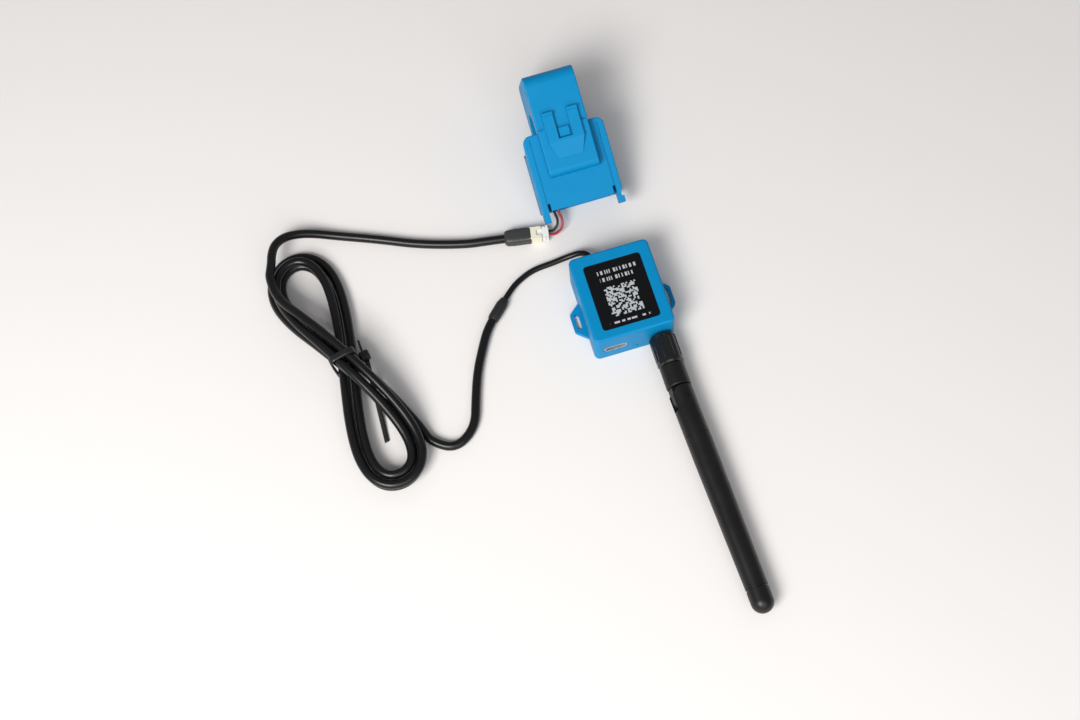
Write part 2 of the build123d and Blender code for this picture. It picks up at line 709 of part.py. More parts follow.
LIMB_ROUTE = [tuple(Vector(*SLEEVE_TO) - SLEEVE_WAY * SLEEVE_GRIP), tuple(Vector(*SLEEVE_TO) + SLEEVE_WAY * 3.6),
              (-55.3, 0.2, 1.85), (-60.1, -9.2, 1.8), (-63.6, -19.4, 1.8), (-67.0, -31.0, 1.8),
              (-76.0, -37.0, 1.8), (-84.2, -31.6, 1.85), tuple(HANK_OUT)]
LEAD_ROUTE = [(LEAD_X, BACK - CASE_WALL - LEAD_END, LEAD_Z), (LEAD_X, 21.5, LEAD_Z), (-8.3, 25.2, 4.6),
              (-14.0, 26.0, 2.2), (-20.5, 25.7, 1.25), (-28.5, 25.2, 1.2), (-35.5, 22.0, 1.5),
              tuple(Vector(*SLEEVE_FROM) - SLEEVE_WAY * 3.5), tuple(Vector(*SLEEVE_FROM) + SLEEVE_WAY * SLEEVE_GRIP)]


def cable_grommet():
    """Rubber bush that seals the thin lead in the back wall."""
    lip, thick = GROMMET_LIP
    hole = rod((LEAD_X, BACK - CASE_WALL, LEAD_Z), (LEAD_X, BACK + thick, LEAD_Z), CABLE_HOLE_R)
    hole += rod((LEAD_X, BACK, LEAD_Z), (LEAD_X, BACK + thick, LEAD_Z), CABLE_HOLE_R + lip)
    return hole - rod((LEAD_X, BACK - 3, LEAD_Z), (LEAD_X, BACK + 2, LEAD_Z), LEAD_D / 2)


def joint_sleeve():
    """Shrink sleeve over the joint between the thin lead and the main cable."""
    start = Vector(*SLEEVE_FROM)
    end = Vector(*SLEEVE_TO)
    way = SLEEVE_WAY
    body = loft([Plane(origin=start, z_dir=way) * Circle(LEAD_D / 2 + SLEEVE_WALL_END),
                 Plane(origin=start + way * 2.5, z_dir=way) * Circle(SLEEVE_R),
                 Plane(origin=end - way * 1.5, z_dir=way) * Circle(SLEEVE_R),
                 Plane(origin=end, z_dir=way) * Circle(CABLE_D / 2 + SLEEVE_WALL_END)], ruled=True)
    body -= rod(tuple(start - way), tuple(start + way * SLEEVE_GRIP), LEAD_D / 2)
    return body - rod(tuple(end - way * SLEEVE_GRIP), tuple(end + way), CABLE_D / 2)


def cable_tie():
    """Strap round the hank's waist with its head, stub and tail."""
    place = Plane(origin=(HANK_CENTRE[0], HANK_CENTRE[1], 0), x_dir=(ACROSS[0], ACROSS[1], 0),
                  z_dir=(0, 0, 1)).location
    low, high = TIE_IN
    outer = block((low - TIE_T, high + TIE_T), (-TIE_W / 2, TIE_W / 2), (TIE_FLOOR, TIE_TOP + TIE_T))
    outer = fillet(outer.edges().filter_by(Axis.Y), 3.0)
    inner = block((low, high), (-TIE_W, TIE_W), (TIE_FLOOR + TIE_T, TIE_TOP))
    inner = fillet(inner.edges().filter_by(Axis.Y), 2.0)
    strap = outer - inner
    head_w, head_d, head_h = TIE_HEAD
    near = high + TIE_T / 2
    head = block((near, near + head_w), (-head_d / 2, head_d / 2), (TIE_HEAD_Z, TIE_HEAD_Z + head_h))
    head = fillet(head.edges().filter_by(Axis.Y), 0.6)
    strap += head
    stub = block((near + 1.2, near + 1.2 + TIE_T), (0, TIE_STUB_L),
                 (TIE_HEAD_Z + 1.0, TIE_HEAD_Z + 1.0 + TIE_TAIL_W))
    start, end = (Vector(*p) for p in TIE_TAIL)
    way = (end - start).normalized()
    flat = Plane(origin=start, x_dir=Vector(0, 0, 1).cross(way), z_dir=way)
    tail = extrude(flat * Rectangle(TIE_TAIL_W, TIE_TAIL_T), (end - start).length)
    return place * (strap + stub + tail)


# Connector

def plug_place(distance):
    """Location on the connector's axis: x along it, z up."""
    return Plane(origin=BOOT_ORIGIN + PLUG_WAY * distance, x_dir=PLUG_WAY, z_dir=(0, 0, 1)).location


HEADER_START = BOOT_L - HEADER_IN_BOOT
HEADER_END = HEADER_START + HEADER_L
PLUG_START = HEADER_END - PLUG_MATED


def connector_boot():
    """Shrink boot over the cable's end."""
    boot = block((0, BOOT_L), (-BOOT_W / 2, BOOT_W / 2), (-BOOT_H / 2, BOOT_H / 2))
    boot = fillet(boot.edges().filter_by(Axis.X), 1.2)
    boot = chamfer(boot.edges().group_by(Axis.X)[0], 0.5)
    boot -= rod((-1, 0, 0), (2.5, 0, 0), CABLE_D / 2)
    pocket_w, pocket_h = HEADER_W / 2, HEADER_H / 2
    boot -= block((HEADER_START, BOOT_L + 1), (-pocket_w, pocket_w), (-pocket_h, pocket_h))
    return plug_place(0) * boot


def connector_header():
    """Cream header shroud that takes the plug."""
    half_w, half_h = HEADER_W / 2, HEADER_H / 2
    body = block((0, HEADER_L), (-half_w, half_w), (-half_h, half_h))
    body -= block((HEADER_L - PLUG_MATED - SLIDE, HEADER_L + 1),
                  (-half_w + HEADER_WALL, half_w - HEADER_WALL),
                  (-half_h + HEADER_WALL, half_h - HEADER_WALL))
    body -= block((HEADER_L - 2.0, HEADER_L + 1), (-1.2, 1.2), (half_h - 1, half_h + 1))
    return plug_place(HEADER_START) * body


def header_pins():
    """Two contact pins in the header."""
    base = HEADER_L - PLUG_MATED - SLIDE
    pins = [rod((base - 0.0, y, 0), (base + 2.6, y, 0), CONTACT_R)
            for y in (-CONTACT_PITCH / 2, CONTACT_PITCH / 2)]
    return Compound(children=[plug_place(HEADER_START) * s for pin in pins for s in pin.solids()])


def plug_housing():
    """White plug with two side lugs and a channel for each contact."""
    half_w = HEADER_W / 2 - HEADER_WALL - PLUG_CLEAR
    half_h = HEADER_H / 2 - HEADER_WALL - PLUG_CLEAR
    body = block((0, PLUG_L), (-half_w, half_w), (-half_h, half_h))
    body += block((PLUG_MATED + 0.3, PLUG_MATED + 1.5), (-HEADER_W / 2, HEADER_W / 2), (-half_h, half_h))
    body += block((PLUG_L - 1.1, PLUG_L - 0.2), (-HEADER_W / 2 - 0.3, HEADER_W / 2 + 0.3), (-half_h, half_h))
    for side in (-1, 1):
        y = side * CONTACT_PITCH / 2
        body -= rod((-1, y, 0), (3.4, y, 0), CONTACT_R + 2 * RUN)
        y = side * WIRE_PITCH / 2
        body -= rod((PLUG_L - 1.6, y, 0), (PLUG_L + 1, y, 0), WIRE_D / 2)
    return plug_place(PLUG_START) * body


# Clamp, built in its own axes and then laid on its hinge side

CT = Location(CT_PLACE, (CT_TILT, 0, 0))


def ct_point(x, y, z):
    """A point of the clamp's own axes in the common frame."""
    return tuple((CT * Location((x, y, z))).position)


def bore(radius, length):
    """A bar along the conductor's path."""
    return rod((-length / 2, 0, 0), (length / 2, 0, 0), radius)


def knuckle(low, high, radius):
    """A bar on the hinge's axis."""
    return rod((low, 0, HINGE_Z), (high, 0, HINGE_Z), radius)


def leg_windows(low, high):
    """Square holes that the core's legs pass through."""
    half = IRON_W / 2 + SLIDE / 2
    windows = []
    for side in (-1, 1):
        inner = side * (IRON_IN - SLIDE / 2)
        outer = side * (IRON_IN + IRON_T + SLIDE / 2)
        windows.append(block((-half, half), (low, high), (min(inner, outer), max(inner, outer))))
    return windows[0] + windows[1]


def ground(height):
    """Everything under a height above the surface the clamp lies on, in the clamp's own axes."""
    return CT.inverse() * block((-FAR, FAR), (-FAR, FAR), (-FAR, height))


def parting_notches():
    """Finger notches at both ends of the parting line, on the latch face."""
    long, high, deep = PARTING_NOTCH
    right = block((CORE_W / 2 - long, CORE_W / 2 + 1), (-high, high), (HALF_T - deep, HALF_T + 1))
    return right + right.mirror(Plane.YZ)


def clamp_body():
    """Both body shells in one: the core block, the wide part with its legs, and the hollow."""
    core = block((-CORE_W / 2, CORE_W / 2), (-BLOCK_H, -PARTING), (-HALF_T, HALF_T))
    low_end = core.edges().filter_by(Axis.X).group_by(Axis.Y)[0].sort_by(Axis.Z)
    core = fillet(low_end[-1:], CORE_SOFT)
    low_end = core.edges().filter_by(Axis.X).group_by(Axis.Z)[0].sort_by(Axis.Y)
    core = fillet(low_end[:1], 1.2)
    core = fillet(core.edges().filter_by(Axis.Y), SHELL_EDGE)
    half = WIDE_W / 2
    wide = block((-half, half), (-WIDE_END, -WIDE_TOP), (WIDE_BACK, WIDE_FRONT))
    wide = fillet(wide.edges().filter_by(Axis.Z).group_by(Axis.Y)[-1], WIDE_CORNER)
    wide = fillet(wide.edges().filter_by(Axis.Y), SHELL_EDGE)
    body = core + wide
    for side in (-1, 1):
        inner = side * (half - LEG_W)
        outer = side * half
        leg = block((min(inner, outer), max(inner, outer)), (-WIDE_END - LEG_REACH, -WIDE_END + 1),
                    (LEG_LOW, WIDE_FRONT))
        body += fillet(leg.edges().filter_by(Axis.X).group_by(Axis.Y)[0], 0.6)
        slit = side * (half - LEG_W - LEG_SLIT)
        body -= block((min(inner, slit), max(inner, slit)), (-WIDE_END - 1, -WIDE_END + LEG_SLIT_L),
                      (WIDE_BACK - 1, WIDE_FRONT + 1))
        wide_line, deep = PLATE_GROOVE
        line = side * (half - LEG_W - wide_line)
        body -= block((min(inner, line), max(inner, line)), (-WIDE_END + 1, -WIDE_TOP - 1.6),
                      (WIDE_FRONT - deep, WIDE_FRONT + 1))
    body -= block((half - NOTCH, half + 1), (-WIDE_END - 1.6, -WIDE_END + 0.9), (LEG_LOW - 1, WIDE_FRONT + 1))
    body -= ground(BACK_FACET)
    wall = CLAMP_WALL
    hollow = block((-CORE_W / 2 + wall, CORE_W / 2 - wall), (-BLOCK_H + wall, -wall), (-HALF_T + wall, HALF_T - wall))
    inside = half - SIDE_WALL
    end = -WIDE_END + END_INSET + END_WALL
    hollow += block((-inside, inside), (end, -WIDE_TOP - wall), (WIDE_BACK + wall, WIDE_FRONT - wall))
    hollow -= bore(BORE_R + BORE_WALL, 2 * WIDE_W)
    hollow -= ground(BACK_FACET + FACET_WALL)
    body -= hollow
    body -= block((-inside + LEG_SLIT + 0.4, inside - LEG_SLIT - 0.4), (-WIDE_END - 1, -WIDE_END + END_INSET),
                  (WIDE_BACK + wall, WIDE_FRONT - wall))
    body -= bore(BORE_R, 2 * WIDE_W)
    body -= leg_windows(-CLAMP_WALL - 1, 1)
    body -= knuckle(-JAW_KNUCKLE / 2 - HINGE_GAP, JAW_KNUCKLE / 2 + HINGE_GAP, HINGE_R + HINGE_GAP)
    for x in (-WIRE_PITCH / 2, WIRE_PITCH / 2):
        body -= rod((WIRE_X + x, end + 1, WIRE_W), (WIRE_X + x, -WIDE_END, WIRE_W), WIRE_D / 2)
    body -= parting_notches()
    slot_w, slot_h, slot_d = WIRE_SLOT
    return body - block((WIRE_X - slot_w / 2, WIRE_X + slot_w / 2), (-WIDE_END, end - END_WALL + slot_d),
                        (SPLIT, SPLIT + slot_h))


def hinge_ears():
    """The body's two hinge knuckles with their roots."""
    ears = None
    for side in (-1, 1):
        low, high = side * (JAW_KNUCKLE / 2 + HINGE_GAP), side * (CORE_W / 2 - 0.3)
        low, high = min(low, high), max(low, high)
        ear = knuckle(low, high, HINGE_R)
        ear += block((low, high), (-HINGE_R - 1.6, -PARTING), (HINGE_Z, -HALF_T + 0.4))
        ear -= block((low - 1, high + 1), (-20, -HINGE_R), (HINGE_Z - 5, HINGE_Z))
        ear -= knuckle(low - 1, high + 1, HINGE_PIN + SEAT / 5)
        ears = ear if ears is None else ears + ear
    return ears


def latch_features():
    """The catch block that stands between the latch prongs."""
    half = CATCH / 2
    catch = block((-half, half), (-CATCH - 0.8, -0.8), (HALF_T - 0.4, HALF_T + CATCH_T))
    return chamfer(catch.edges().filter_by(Axis.X).group_by(Axis.Z)[-1], 0.4)


def body_shells():
    """Front and back shells of the clamp's body."""
    whole = clamp_body() + hinge_ears() + latch_features()
    front = whole & block((-FAR, FAR), (-FAR, FAR), (SPLIT, FAR))
    back = whole & block((-FAR, FAR), (-FAR, FAR), (-FAR, SPLIT - SEAT / 2))
    return front, back


def jaw_outline():
    """The jaw's side view, rounded at its far end."""
    face = Pos(0, JAW_H / 2) * Rectangle(2 * HALF_T, JAW_H)
    face = fillet(face.vertices().group_by(Axis.Y)[-1], JAW_ROUND)
    return Plane(origin=(-CORE_W / 2, 0, 0), x_dir=(0, 0, 1), z_dir=(1, 0, 0)) * (Rot(0, 0, 0) * face)


def jaw_solid(width, inset):
    """Jaw block of a width, with its profile drawn in by an inset."""
    low = PARTING if inset == 0 else 0.0
    profile = [(low, -HALF_T + inset), (low, HALF_T - inset), (JAW_H - inset, HALF_T - inset),
               (JAW_H - inset, -HALF_T + inset)]
    body = block((-width / 2, width / 2), (profile[0][0], profile[2][0]), (profile[0][1], profile[1][1]))
    far = body.edges().filter_by(Axis.X).group_by(Axis.Y)[-1]
    return fillet(far, JAW_ROUND - inset)


def jaw_shell():
    """Outer bucket of the jaw with its hinge knuckle and the two latch lugs."""
    body = jaw_solid(CORE_W, 0.0)
    rims = body.faces().filter_by(Axis.X)
    body = fillet([e for f in rims for e in f.edges() if e.center().Y > PARTING + 0.1], SHELL_EDGE)
    body -= jaw_solid(CORE_W - 2 * CLAMP_WALL, CLAMP_WALL)
    body -= block((-CORE_W / 2 + CLAMP_WALL, CORE_W / 2 - CLAMP_WALL), (-1, CLAMP_WALL + 1),
                  (-HALF_T + CLAMP_WALL, HALF_T - CLAMP_WALL))
    body -= bore(BORE_R, 2 * CORE_W)
    half = JAW_KNUCKLE / 2
    arm = knuckle(-half, half, HINGE_R)
    arm += block((-half, half), (PARTING, HINGE_R + 1.6), (HINGE_Z, -HALF_T + 0.4))
    arm -= block((-half - 1, half + 1), (HINGE_R, 20), (HINGE_Z - 5, HINGE_Z))
    gap = HINGE_R + HINGE_GAP
    for side in (-1, 1):
        low, high = side * (half + 0.0), side * (CORE_W / 2 + 1)
        body -= knuckle(min(low, high), max(low, high), gap)
    body += arm
    body -= knuckle(-half - 1, half + 1, HINGE_PIN + RUN)
    body -= parting_notches()
    for side in (-1, 1):
        middle = side * (LATCH_GAP + LATCH_PRONG) / 2
        body += block((middle - 1.4, middle + 1.4), (1.2, 2.6), (HALF_T - 0.3, HALF_T + LUG_T))
    return body


def jaw_cover():
    """Saddle that closes the jaw round the conductor and holds the core."""
    half = CORE_W / 2 - CLAMP_WALL - SEAT
    inside = HALF_T - CLAMP_WALL - SEAT
    body = block((-half, half), (PARTING, CLAMP_WALL), (-inside, inside))
    ring = rod((-half, 0, 0), (half, 0, 0), BORE_R + BORE_WALL)
    body += ring & block((-half, half), (PARTING, 20), (-20, 20))
    return body - bore(BORE_R, 2 * CORE_W) - leg_windows(-1, CLAMP_WALL + 1)


def iron(yoke, way):
    """A U-shaped laminated core half: two legs and a yoke."""
    far = yoke + IRON_T
    outer = IRON_IN + IRON_T
    half = IRON_W / 2
    body = block((-half, half), (PARTING, far), (-outer, outer))
    body = fillet(body.edges().filter_by(Axis.X).group_by(Axis.Y)[-1], IRON_T - 0.1)
    body -= block((-half - 1, half + 1), (-1, yoke), (-IRON_IN, IRON_IN))
    return body if way > 0 else body.mirror(Plane.XZ)


def bobbin():
    """Winding former round the lower yoke."""
    half = IRON_W / 2 + SEAT + BOBBIN_T
    low, high = -LOWER_YOKE - IRON_T - SEAT - BOBBIN_T, -LOWER_YOKE + SEAT + BOBBIN_T
    long = IRON_IN - SLIDE
    body = block((-half, half), (low, high), (-long, long))
    for side in (-1, 1):
        near, far = side * (long - FLANGE_T), side * long
        body += block((-half - COIL_T, half + COIL_T), (low - COIL_T, high + COIL_T * 0.8),
                      (min(near, far), max(near, far)))
    hole = IRON_W / 2 + SEAT
    body -= block((-hole, hole), (-LOWER_YOKE - IRON_T - SEAT, -LOWER_YOKE + SEAT), (-20, 20))
    return body - bore(BORE_R + BORE_WALL + SEAT, 2 * CORE_W)


def winding():
    """The secondary winding on the former, a plain band under its tape."""
    half = IRON_W / 2 + SEAT + BOBBIN_T
    low, high = -LOWER_YOKE - IRON_T - SEAT - BOBBIN_T, -LOWER_YOKE + SEAT + BOBBIN_T
    long = IRON_IN - SLIDE - FLANGE_T - SEAT
    out = COIL_T - 0.2
    body = block((-half - out, half + out), (low - out, high + out * 0.8), (-long, long))
    body = fillet(body.edges().filter_by(Axis.Z), 0.6)
    body -= block((-half - SEAT / 2, half + SEAT / 2), (low - SEAT / 2, high + SEAT / 2), (-FAR, FAR))
    return body - bore(BORE_R + BORE_WALL + SEAT, 2 * CORE_W)


def core_pad():
    """Foam pad that presses the upper core to the parting face."""
    low = UPPER_YOKE + IRON_T + SEAT
    high = JAW_H - CLAMP_WALL - SEAT
    half, long = IRON_W / 2 - PAD_INSET[0], IRON_IN - PAD_INSET[1]
    return block((-half, half), (low, high), (-long, long))


WIRE_X = -10.6
WIRE_W = 3.2
TERMINAL_END = -WIDE_END + END_INSET + END_WALL


def terminal_board():
    """Small board in the wide part that joins the winding to the wires."""
    low = TERMINAL_END + 0.3
    half = WIDE_W / 2 - SIDE_WALL - SEAT
    base = WIDE_BACK + CLAMP_WALL + TERMINAL_LIFT
    return block((-half, half), (low, low + TERMINAL_D), (base, base + TERMINAL_T))


def board_rail():
    """Ribs in the back shell that carry the terminal board."""
    low = TERMINAL_END
    rails = None
    for side in (-1, 1):
        inner, outer = side * 9.0, side * 11.0
        rail = block((min(inner, outer), max(inner, outer)), (low, low + 6.0),
                     (WIDE_BACK + CLAMP_WALL - 0.2, WIDE_BACK + CLAMP_WALL + TERMINAL_LIFT - SEAT))
        rails = rail if rails is None else rails + rail
    return rails


def terminal_parts():
    """Surge clamp and burden resistor on the terminal board."""
    low = TERMINAL_END + 1.4
    base = WIDE_BACK + CLAMP_WALL + TERMINAL_LIFT + TERMINAL_T
    parts = [block((1.5, 6.0), (low, low + 2.6), (base, base + 2.2)),
             block((-4.6, -1.4), (low, low + 1.6), (base, base + 0.6))]
    return Compound(children=[s for p in parts for s in p.solids()])


def latch_clip():
    """Two-pronged clip with a bar at each prong's end, on a tongue that tapers into the face."""
    half = LATCH_PRONG + LATCH_GAP / 2
    face = HALF_T + LATCH_LIFT
    top = face + LATCH_T
    side = [(-LATCH_ROOT, face), (LATCH_UP, face), (LATCH_UP, top + LATCH_BAR[1] - 0.2),
            (LATCH_UP - 0.2, top + LATCH_BAR[1]), (LATCH_UP - LATCH_BAR[0], top + LATCH_BAR[1]),
            (LATCH_UP - LATCH_BAR[0] - 0.4, top), (-LATCH_JOIN - 1.0, top), (-LATCH_ROOT, face + LATCH_TOE)]
    profile = Plane(origin=(-half, 0, 0), x_dir=(0, 1, 0), z_dir=(1, 0, 0)) * make_face(Polyline(*side, close=True))
    body = extrude(profile, 2 * half)
    gap = LATCH_GAP / 2
    body -= block((-gap, gap), (-LATCH_JOIN, LATCH_UP + 1), (0, 40))
    outline = [(-half, LATCH_UP + 1), (-half, -LATCH_JOIN - 1.0), (-LATCH_FOOT, -LATCH_ROOT - 0.01),
               (LATCH_FOOT, -LATCH_ROOT - 0.01), (half, -LATCH_JOIN - 1.0), (half, LATCH_UP + 1)]
    return body & extrude(make_face(Polyline(*outline, close=True)), 40)


def hinge_pin():
    """Hinge pin of the jaw."""
    return knuckle(-CORE_W / 2 + 0.5, CORE_W / 2 - 0.5, HINGE_PIN)


def clamp_wire(offset, turns):
    """One thin wire from the plug, round in a half loop, to the clamp's outlet."""
    side = Vector(-PLUG_WAY.Y, PLUG_WAY.X, 0)
    start = BOOT_ORIGIN + PLUG_WAY * (PLUG_START + PLUG_L - 1.6) + side * offset
    outlet = ct_point(WIRE_X - offset, TERMINAL_END - 0.4, WIRE_W)
    below = ct_point(WIRE_X - offset, -WIDE_END - 0.8, WIRE_W)
    return [tuple(start)] + turns + [below, outlet]


RED_TURNS = [(-15.2, 36.98, 2.4), (-12.3, 38.2, 3.4), (-11.3, 40.8, 5.1)]
BLACK_TURNS = [(-16.0, 38.63, 2.4), (-13.7, 39.9, 3.6), (-13.1, 41.7, 5.5)]


def main():
    """Build and write every sub-part."""
    os.makedirs("parts", exist_ok=True)
    save(base_case(), "base_case")
    save(top_case(), "top_case")
    save(label_plate(), "label_plate")
    save(circuit_board(), "circuit_board")
    save(radio_shield(), "radio_shield")
    save(on_board(-1.2, BACK - CHIP_FROM_BACK, 4.2, 4.2, 0.9), "power_chip")
    save(on_board(4.6, BACK - CAPACITOR_FROM_BACK, 6.0, 8.0, 6.4, 1.2), "storage_capacitor")
    save(on_board(RECTIFIER_IN - CASE_W / 2, 4.2, 4.6, 3.6, 1.6), "bridge_rectifier")
    save(on_board(CASE_W / 2 - STATUS_IN, 3.0, 1.6, 0.8, 0.6, 0.1), "status_light")
    save(on_board(LEAD_X, BACK - CASE_WALL - LEAD_END - 2.2, 6.0, 4.4, 3.4), "lead_terminal")
    save(cable_grommet(), "cable_grommet")
    save(usb_shell(), "usb_shell")
    save(usb_tongue(), "usb_tongue")
    save(reset_switch(), "reset_switch")
    save(reset_plunger(), "reset_plunger")
    save(case_screws(), "case_screws")
    save(antenna_socket(), "antenna_socket")
    save(socket_insulator(), "socket_insulator")
    save(socket_contact(), "socket_contact")
    save(antenna_collar(), "antenna_collar")
    save(antenna_base(), "antenna_base")
    save(antenna_pin(), "antenna_pin")
    save(antenna_hinge_pin(), "antenna_hinge_pin")
    axis = Axis((ANT_X, PIN_Y, ANT_Z), tuple(pin_frame().z_dir))
    for make, name in ((antenna_mast, "antenna_mast"), (antenna_tip, "antenna_tip"),
                       (antenna_radiator, "antenna_radiator")):
        save(make().rotate(axis, FOLD_REST), name)
    save(tube(LEAD_ROUTE, LEAD_D, "thin_lead"), "thin_lead")
    save(tube(LIMB_ROUTE, CABLE_D, "cable_lower"), "cable_lower")
    save(tube(HANK_UP_ROUTE, CABLE_D, "cable_upper"), "cable_upper")
    save(cable_hank(), "cable_hank")
    save(joint_sleeve(), "joint_sleeve")
    save(cable_tie(), "cable_tie")
    save(connector_boot(), "connector_boot")
    save(connector_header(), "connector_header")
    save(header_pins(), "header_pins")
    save(plug_housing(), "plug_housing")
    front, back = body_shells()
    save(lift(front, CT), "clamp_front_shell")
    save(lift(back + board_rail(), CT), "clamp_back_shell")
    for make, name in ((jaw_shell, "jaw_shell"), (jaw_cover, "jaw_cover"), (bobbin, "bobbin"),
                       (winding, "winding"), (core_pad, "core_pad"), (terminal_board, "terminal_board"),
                       (terminal_parts, "terminal_parts"), (latch_clip, "latch_clip"),
                       (hinge_pin, "jaw_hinge_pin")):
        save(lift(make(), CT), name)
    save(lift(iron(UPPER_YOKE, 1), CT), "upper_core")
    save(lift(iron(LOWER_YOKE, -1), CT), "lower_core")
    save(tube(clamp_wire(WIRE_PITCH / 2, BLACK_TURNS), WIRE_D, "black_wire"), "black_wire")
    save(tube(clamp_wire(-WIRE_PITCH / 2, RED_TURNS), WIRE_D, "red_wire"), "red_wire")


main()
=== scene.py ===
# %% [markdown]
# Smart current transformer: a blue split-core clamp and a blue radio box on one black
# cable, laid on a pale surface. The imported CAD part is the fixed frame, in metres, and
# this script adds the looks: cords as smooth curves, soft sleeves, printed and moulded
# detail, and a procedural material for every visible piece.

# %% Load the frame
import json
import math

import bpy
import numpy as np
from mathutils import Matrix, Vector


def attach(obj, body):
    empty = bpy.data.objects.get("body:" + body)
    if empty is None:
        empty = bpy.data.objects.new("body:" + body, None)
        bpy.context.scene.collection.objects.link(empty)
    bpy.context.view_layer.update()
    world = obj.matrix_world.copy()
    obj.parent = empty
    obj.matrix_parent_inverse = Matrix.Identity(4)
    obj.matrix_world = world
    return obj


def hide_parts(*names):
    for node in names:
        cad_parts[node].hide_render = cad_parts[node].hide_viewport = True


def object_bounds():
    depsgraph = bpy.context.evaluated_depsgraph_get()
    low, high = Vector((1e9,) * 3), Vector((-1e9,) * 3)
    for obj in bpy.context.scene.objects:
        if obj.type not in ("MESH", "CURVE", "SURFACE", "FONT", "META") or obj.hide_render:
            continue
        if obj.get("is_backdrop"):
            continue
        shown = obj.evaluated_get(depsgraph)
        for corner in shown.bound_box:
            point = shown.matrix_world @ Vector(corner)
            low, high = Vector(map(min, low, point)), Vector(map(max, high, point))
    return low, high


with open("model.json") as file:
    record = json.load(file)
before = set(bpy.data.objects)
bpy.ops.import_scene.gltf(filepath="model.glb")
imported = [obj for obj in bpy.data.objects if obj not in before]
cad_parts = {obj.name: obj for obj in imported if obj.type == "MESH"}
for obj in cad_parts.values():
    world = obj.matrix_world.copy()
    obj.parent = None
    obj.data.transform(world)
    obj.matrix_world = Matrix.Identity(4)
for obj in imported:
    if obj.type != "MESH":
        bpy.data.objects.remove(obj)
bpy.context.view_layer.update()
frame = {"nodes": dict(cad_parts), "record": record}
nodes = frame["nodes"]
MM = 0.001

# %% [markdown]
# The camera stands where the photograph was taken from: a 50 mm lens on a 36 mm sensor,
# high above the object and a little turned. Its place is in metres, and its three axes are
# the columns of its matrix.

# %% Camera
LENS, SENSOR, NEAR_CLIP = 50, 36, 0.01
CAMERA_AT = (-0.06438, -0.22517, 0.53077)
RIGHT, UP, BACK = (0.9584, -0.2787, -0.0612), (0.2811, 0.885, 0.3713), (-0.0493, -0.373, 0.9265)

scene = bpy.context.scene
camera = bpy.data.objects.new("camera", bpy.data.cameras.new("camera"))
scene.collection.objects.link(camera)
camera.data.lens = LENS
camera.data.sensor_width = SENSOR
camera.data.clip_start = NEAR_CLIP
camera.matrix_world = Matrix([*zip(RIGHT, UP, BACK, CAMERA_AT), (0, 0, 0, 1)])
scene.camera = camera
print("camera height in mm", round(camera.location.z / MM))

# %% [markdown]
# A cord is one NURBS spline: its control points are the few points of its route, and the
# spline rounds them off by itself, so the cord bends as evenly as a real one. The order
# is set after the points, because set before it falls back to straight runs.


# %% Cord helper
CORD_RINGS, CORD_ROUNDNESS = 8, 5


def link(obj):
    """Put a new object in the scene and return it."""
    scene.collection.objects.link(obj)
    return obj


def cord_curve(name, route, diameter):
    """A round cord through a route in mm: a quadratic B-spline with its ends on the end points.
    Its radius is set on the points, with a bevel of 1, because a curve's box takes that radius in."""
    data = bpy.data.curves.new(name, "CURVE")
    data.dimensions = "3D"
    line = data.splines.new("NURBS")
    line.points.add(len(route) - 1)
    for point, at in zip(line.points, route):
        point.co = (at[0] * MM, at[1] * MM, at[2] * MM, 1.0)
        point.radius = diameter / 2 * MM
    line.order_u = 3
    line.use_endpoint_u = True
    line.resolution_u = CORD_RINGS
    data.bevel_depth = 1.0
    data.bevel_resolution = CORD_ROUNDNESS
    data.use_fill_caps = True
    return link(bpy.data.objects.new(name, data))


def centre_line(obj):
    """Points along a cord's spline in metres, read from its curve without the round section."""
    bare = obj.data.copy()
    bare.bevel_depth = 0.0
    copy = bpy.data.objects.new("centre_line", bare)
    mesh = bpy.data.meshes.new_from_object(copy)
    points = np.empty(3 * len(mesh.vertices))
    mesh.vertices.foreach_get("co", points)
    bpy.data.objects.remove(copy)
    return points.reshape(-1, 3)


def length_of(obj):
    """Length of a cord's centre line in metres."""
    return float(np.linalg.norm(np.diff(centre_line(obj), axis=0), axis=1).sum())


# %% [markdown]
# The main cable runs from the shrink sleeve through the lower limb, the tied hank and the
# upper lead to the connector. The hank's turns follow one formula: a figure of eight that
# crosses itself at the tie. The turns shift sideways by a step each, on an upper layer and
# then back on the lower one, and the upper layer leans into both loops, so that the strands
# lie side by side. Each downward pass is lifted over the upward passes at the crossing.
# Twenty points a turn keep the spline near that line. All lengths here are in mm.

# %% Cable routes
CABLE_D, LEAD_D, WIRE_D = 3.5, 2.3, 1.0
FLOOR_GAP = 0.05
FLOOR = CABLE_D / 2 + FLOOR_GAP
SLEEVE_FROM = np.array((-42.1, 16.0, 2.3))
SLEEVE_TO = np.array((-49.0, 9.1, 2.3))
SLEEVE_WAY = (SLEEVE_TO - SLEEVE_FROM) / np.linalg.norm(SLEEVE_TO - SLEEVE_FROM)
TUCK = 2.6
PLUG_WAY = np.array((0.986, -0.1667, 0.0)) / math.hypot(0.986, 0.1667)
BOOT = np.array((-35.2, 41.1, 2.42))
HANK_CENTRE = np.array((-108.0, 6.0))
HANK_ALONG = np.array((-0.205, 0.9788))
HANK_ACROSS = np.array((0.9788, 0.205))
HANK_FIRST, HANK_LAST, HANK_STEP, HANK_LAYER, HANK_COUNT = 0.08, 3.36, 4.1, 4.2, 66
HANK_HALF, HANK_WIDTH, HANK_FLARE, HANK_SLIM = 52.0, 19.5, 3.5, 0.06
ENTRY_STEPS, ENTRY_TURNS = 1.3, 0.14
SINK_AFTER, SINK_TURNS = 0.07, 0.10
FALL_AT, FALL_TURNS = 1.54, 0.4
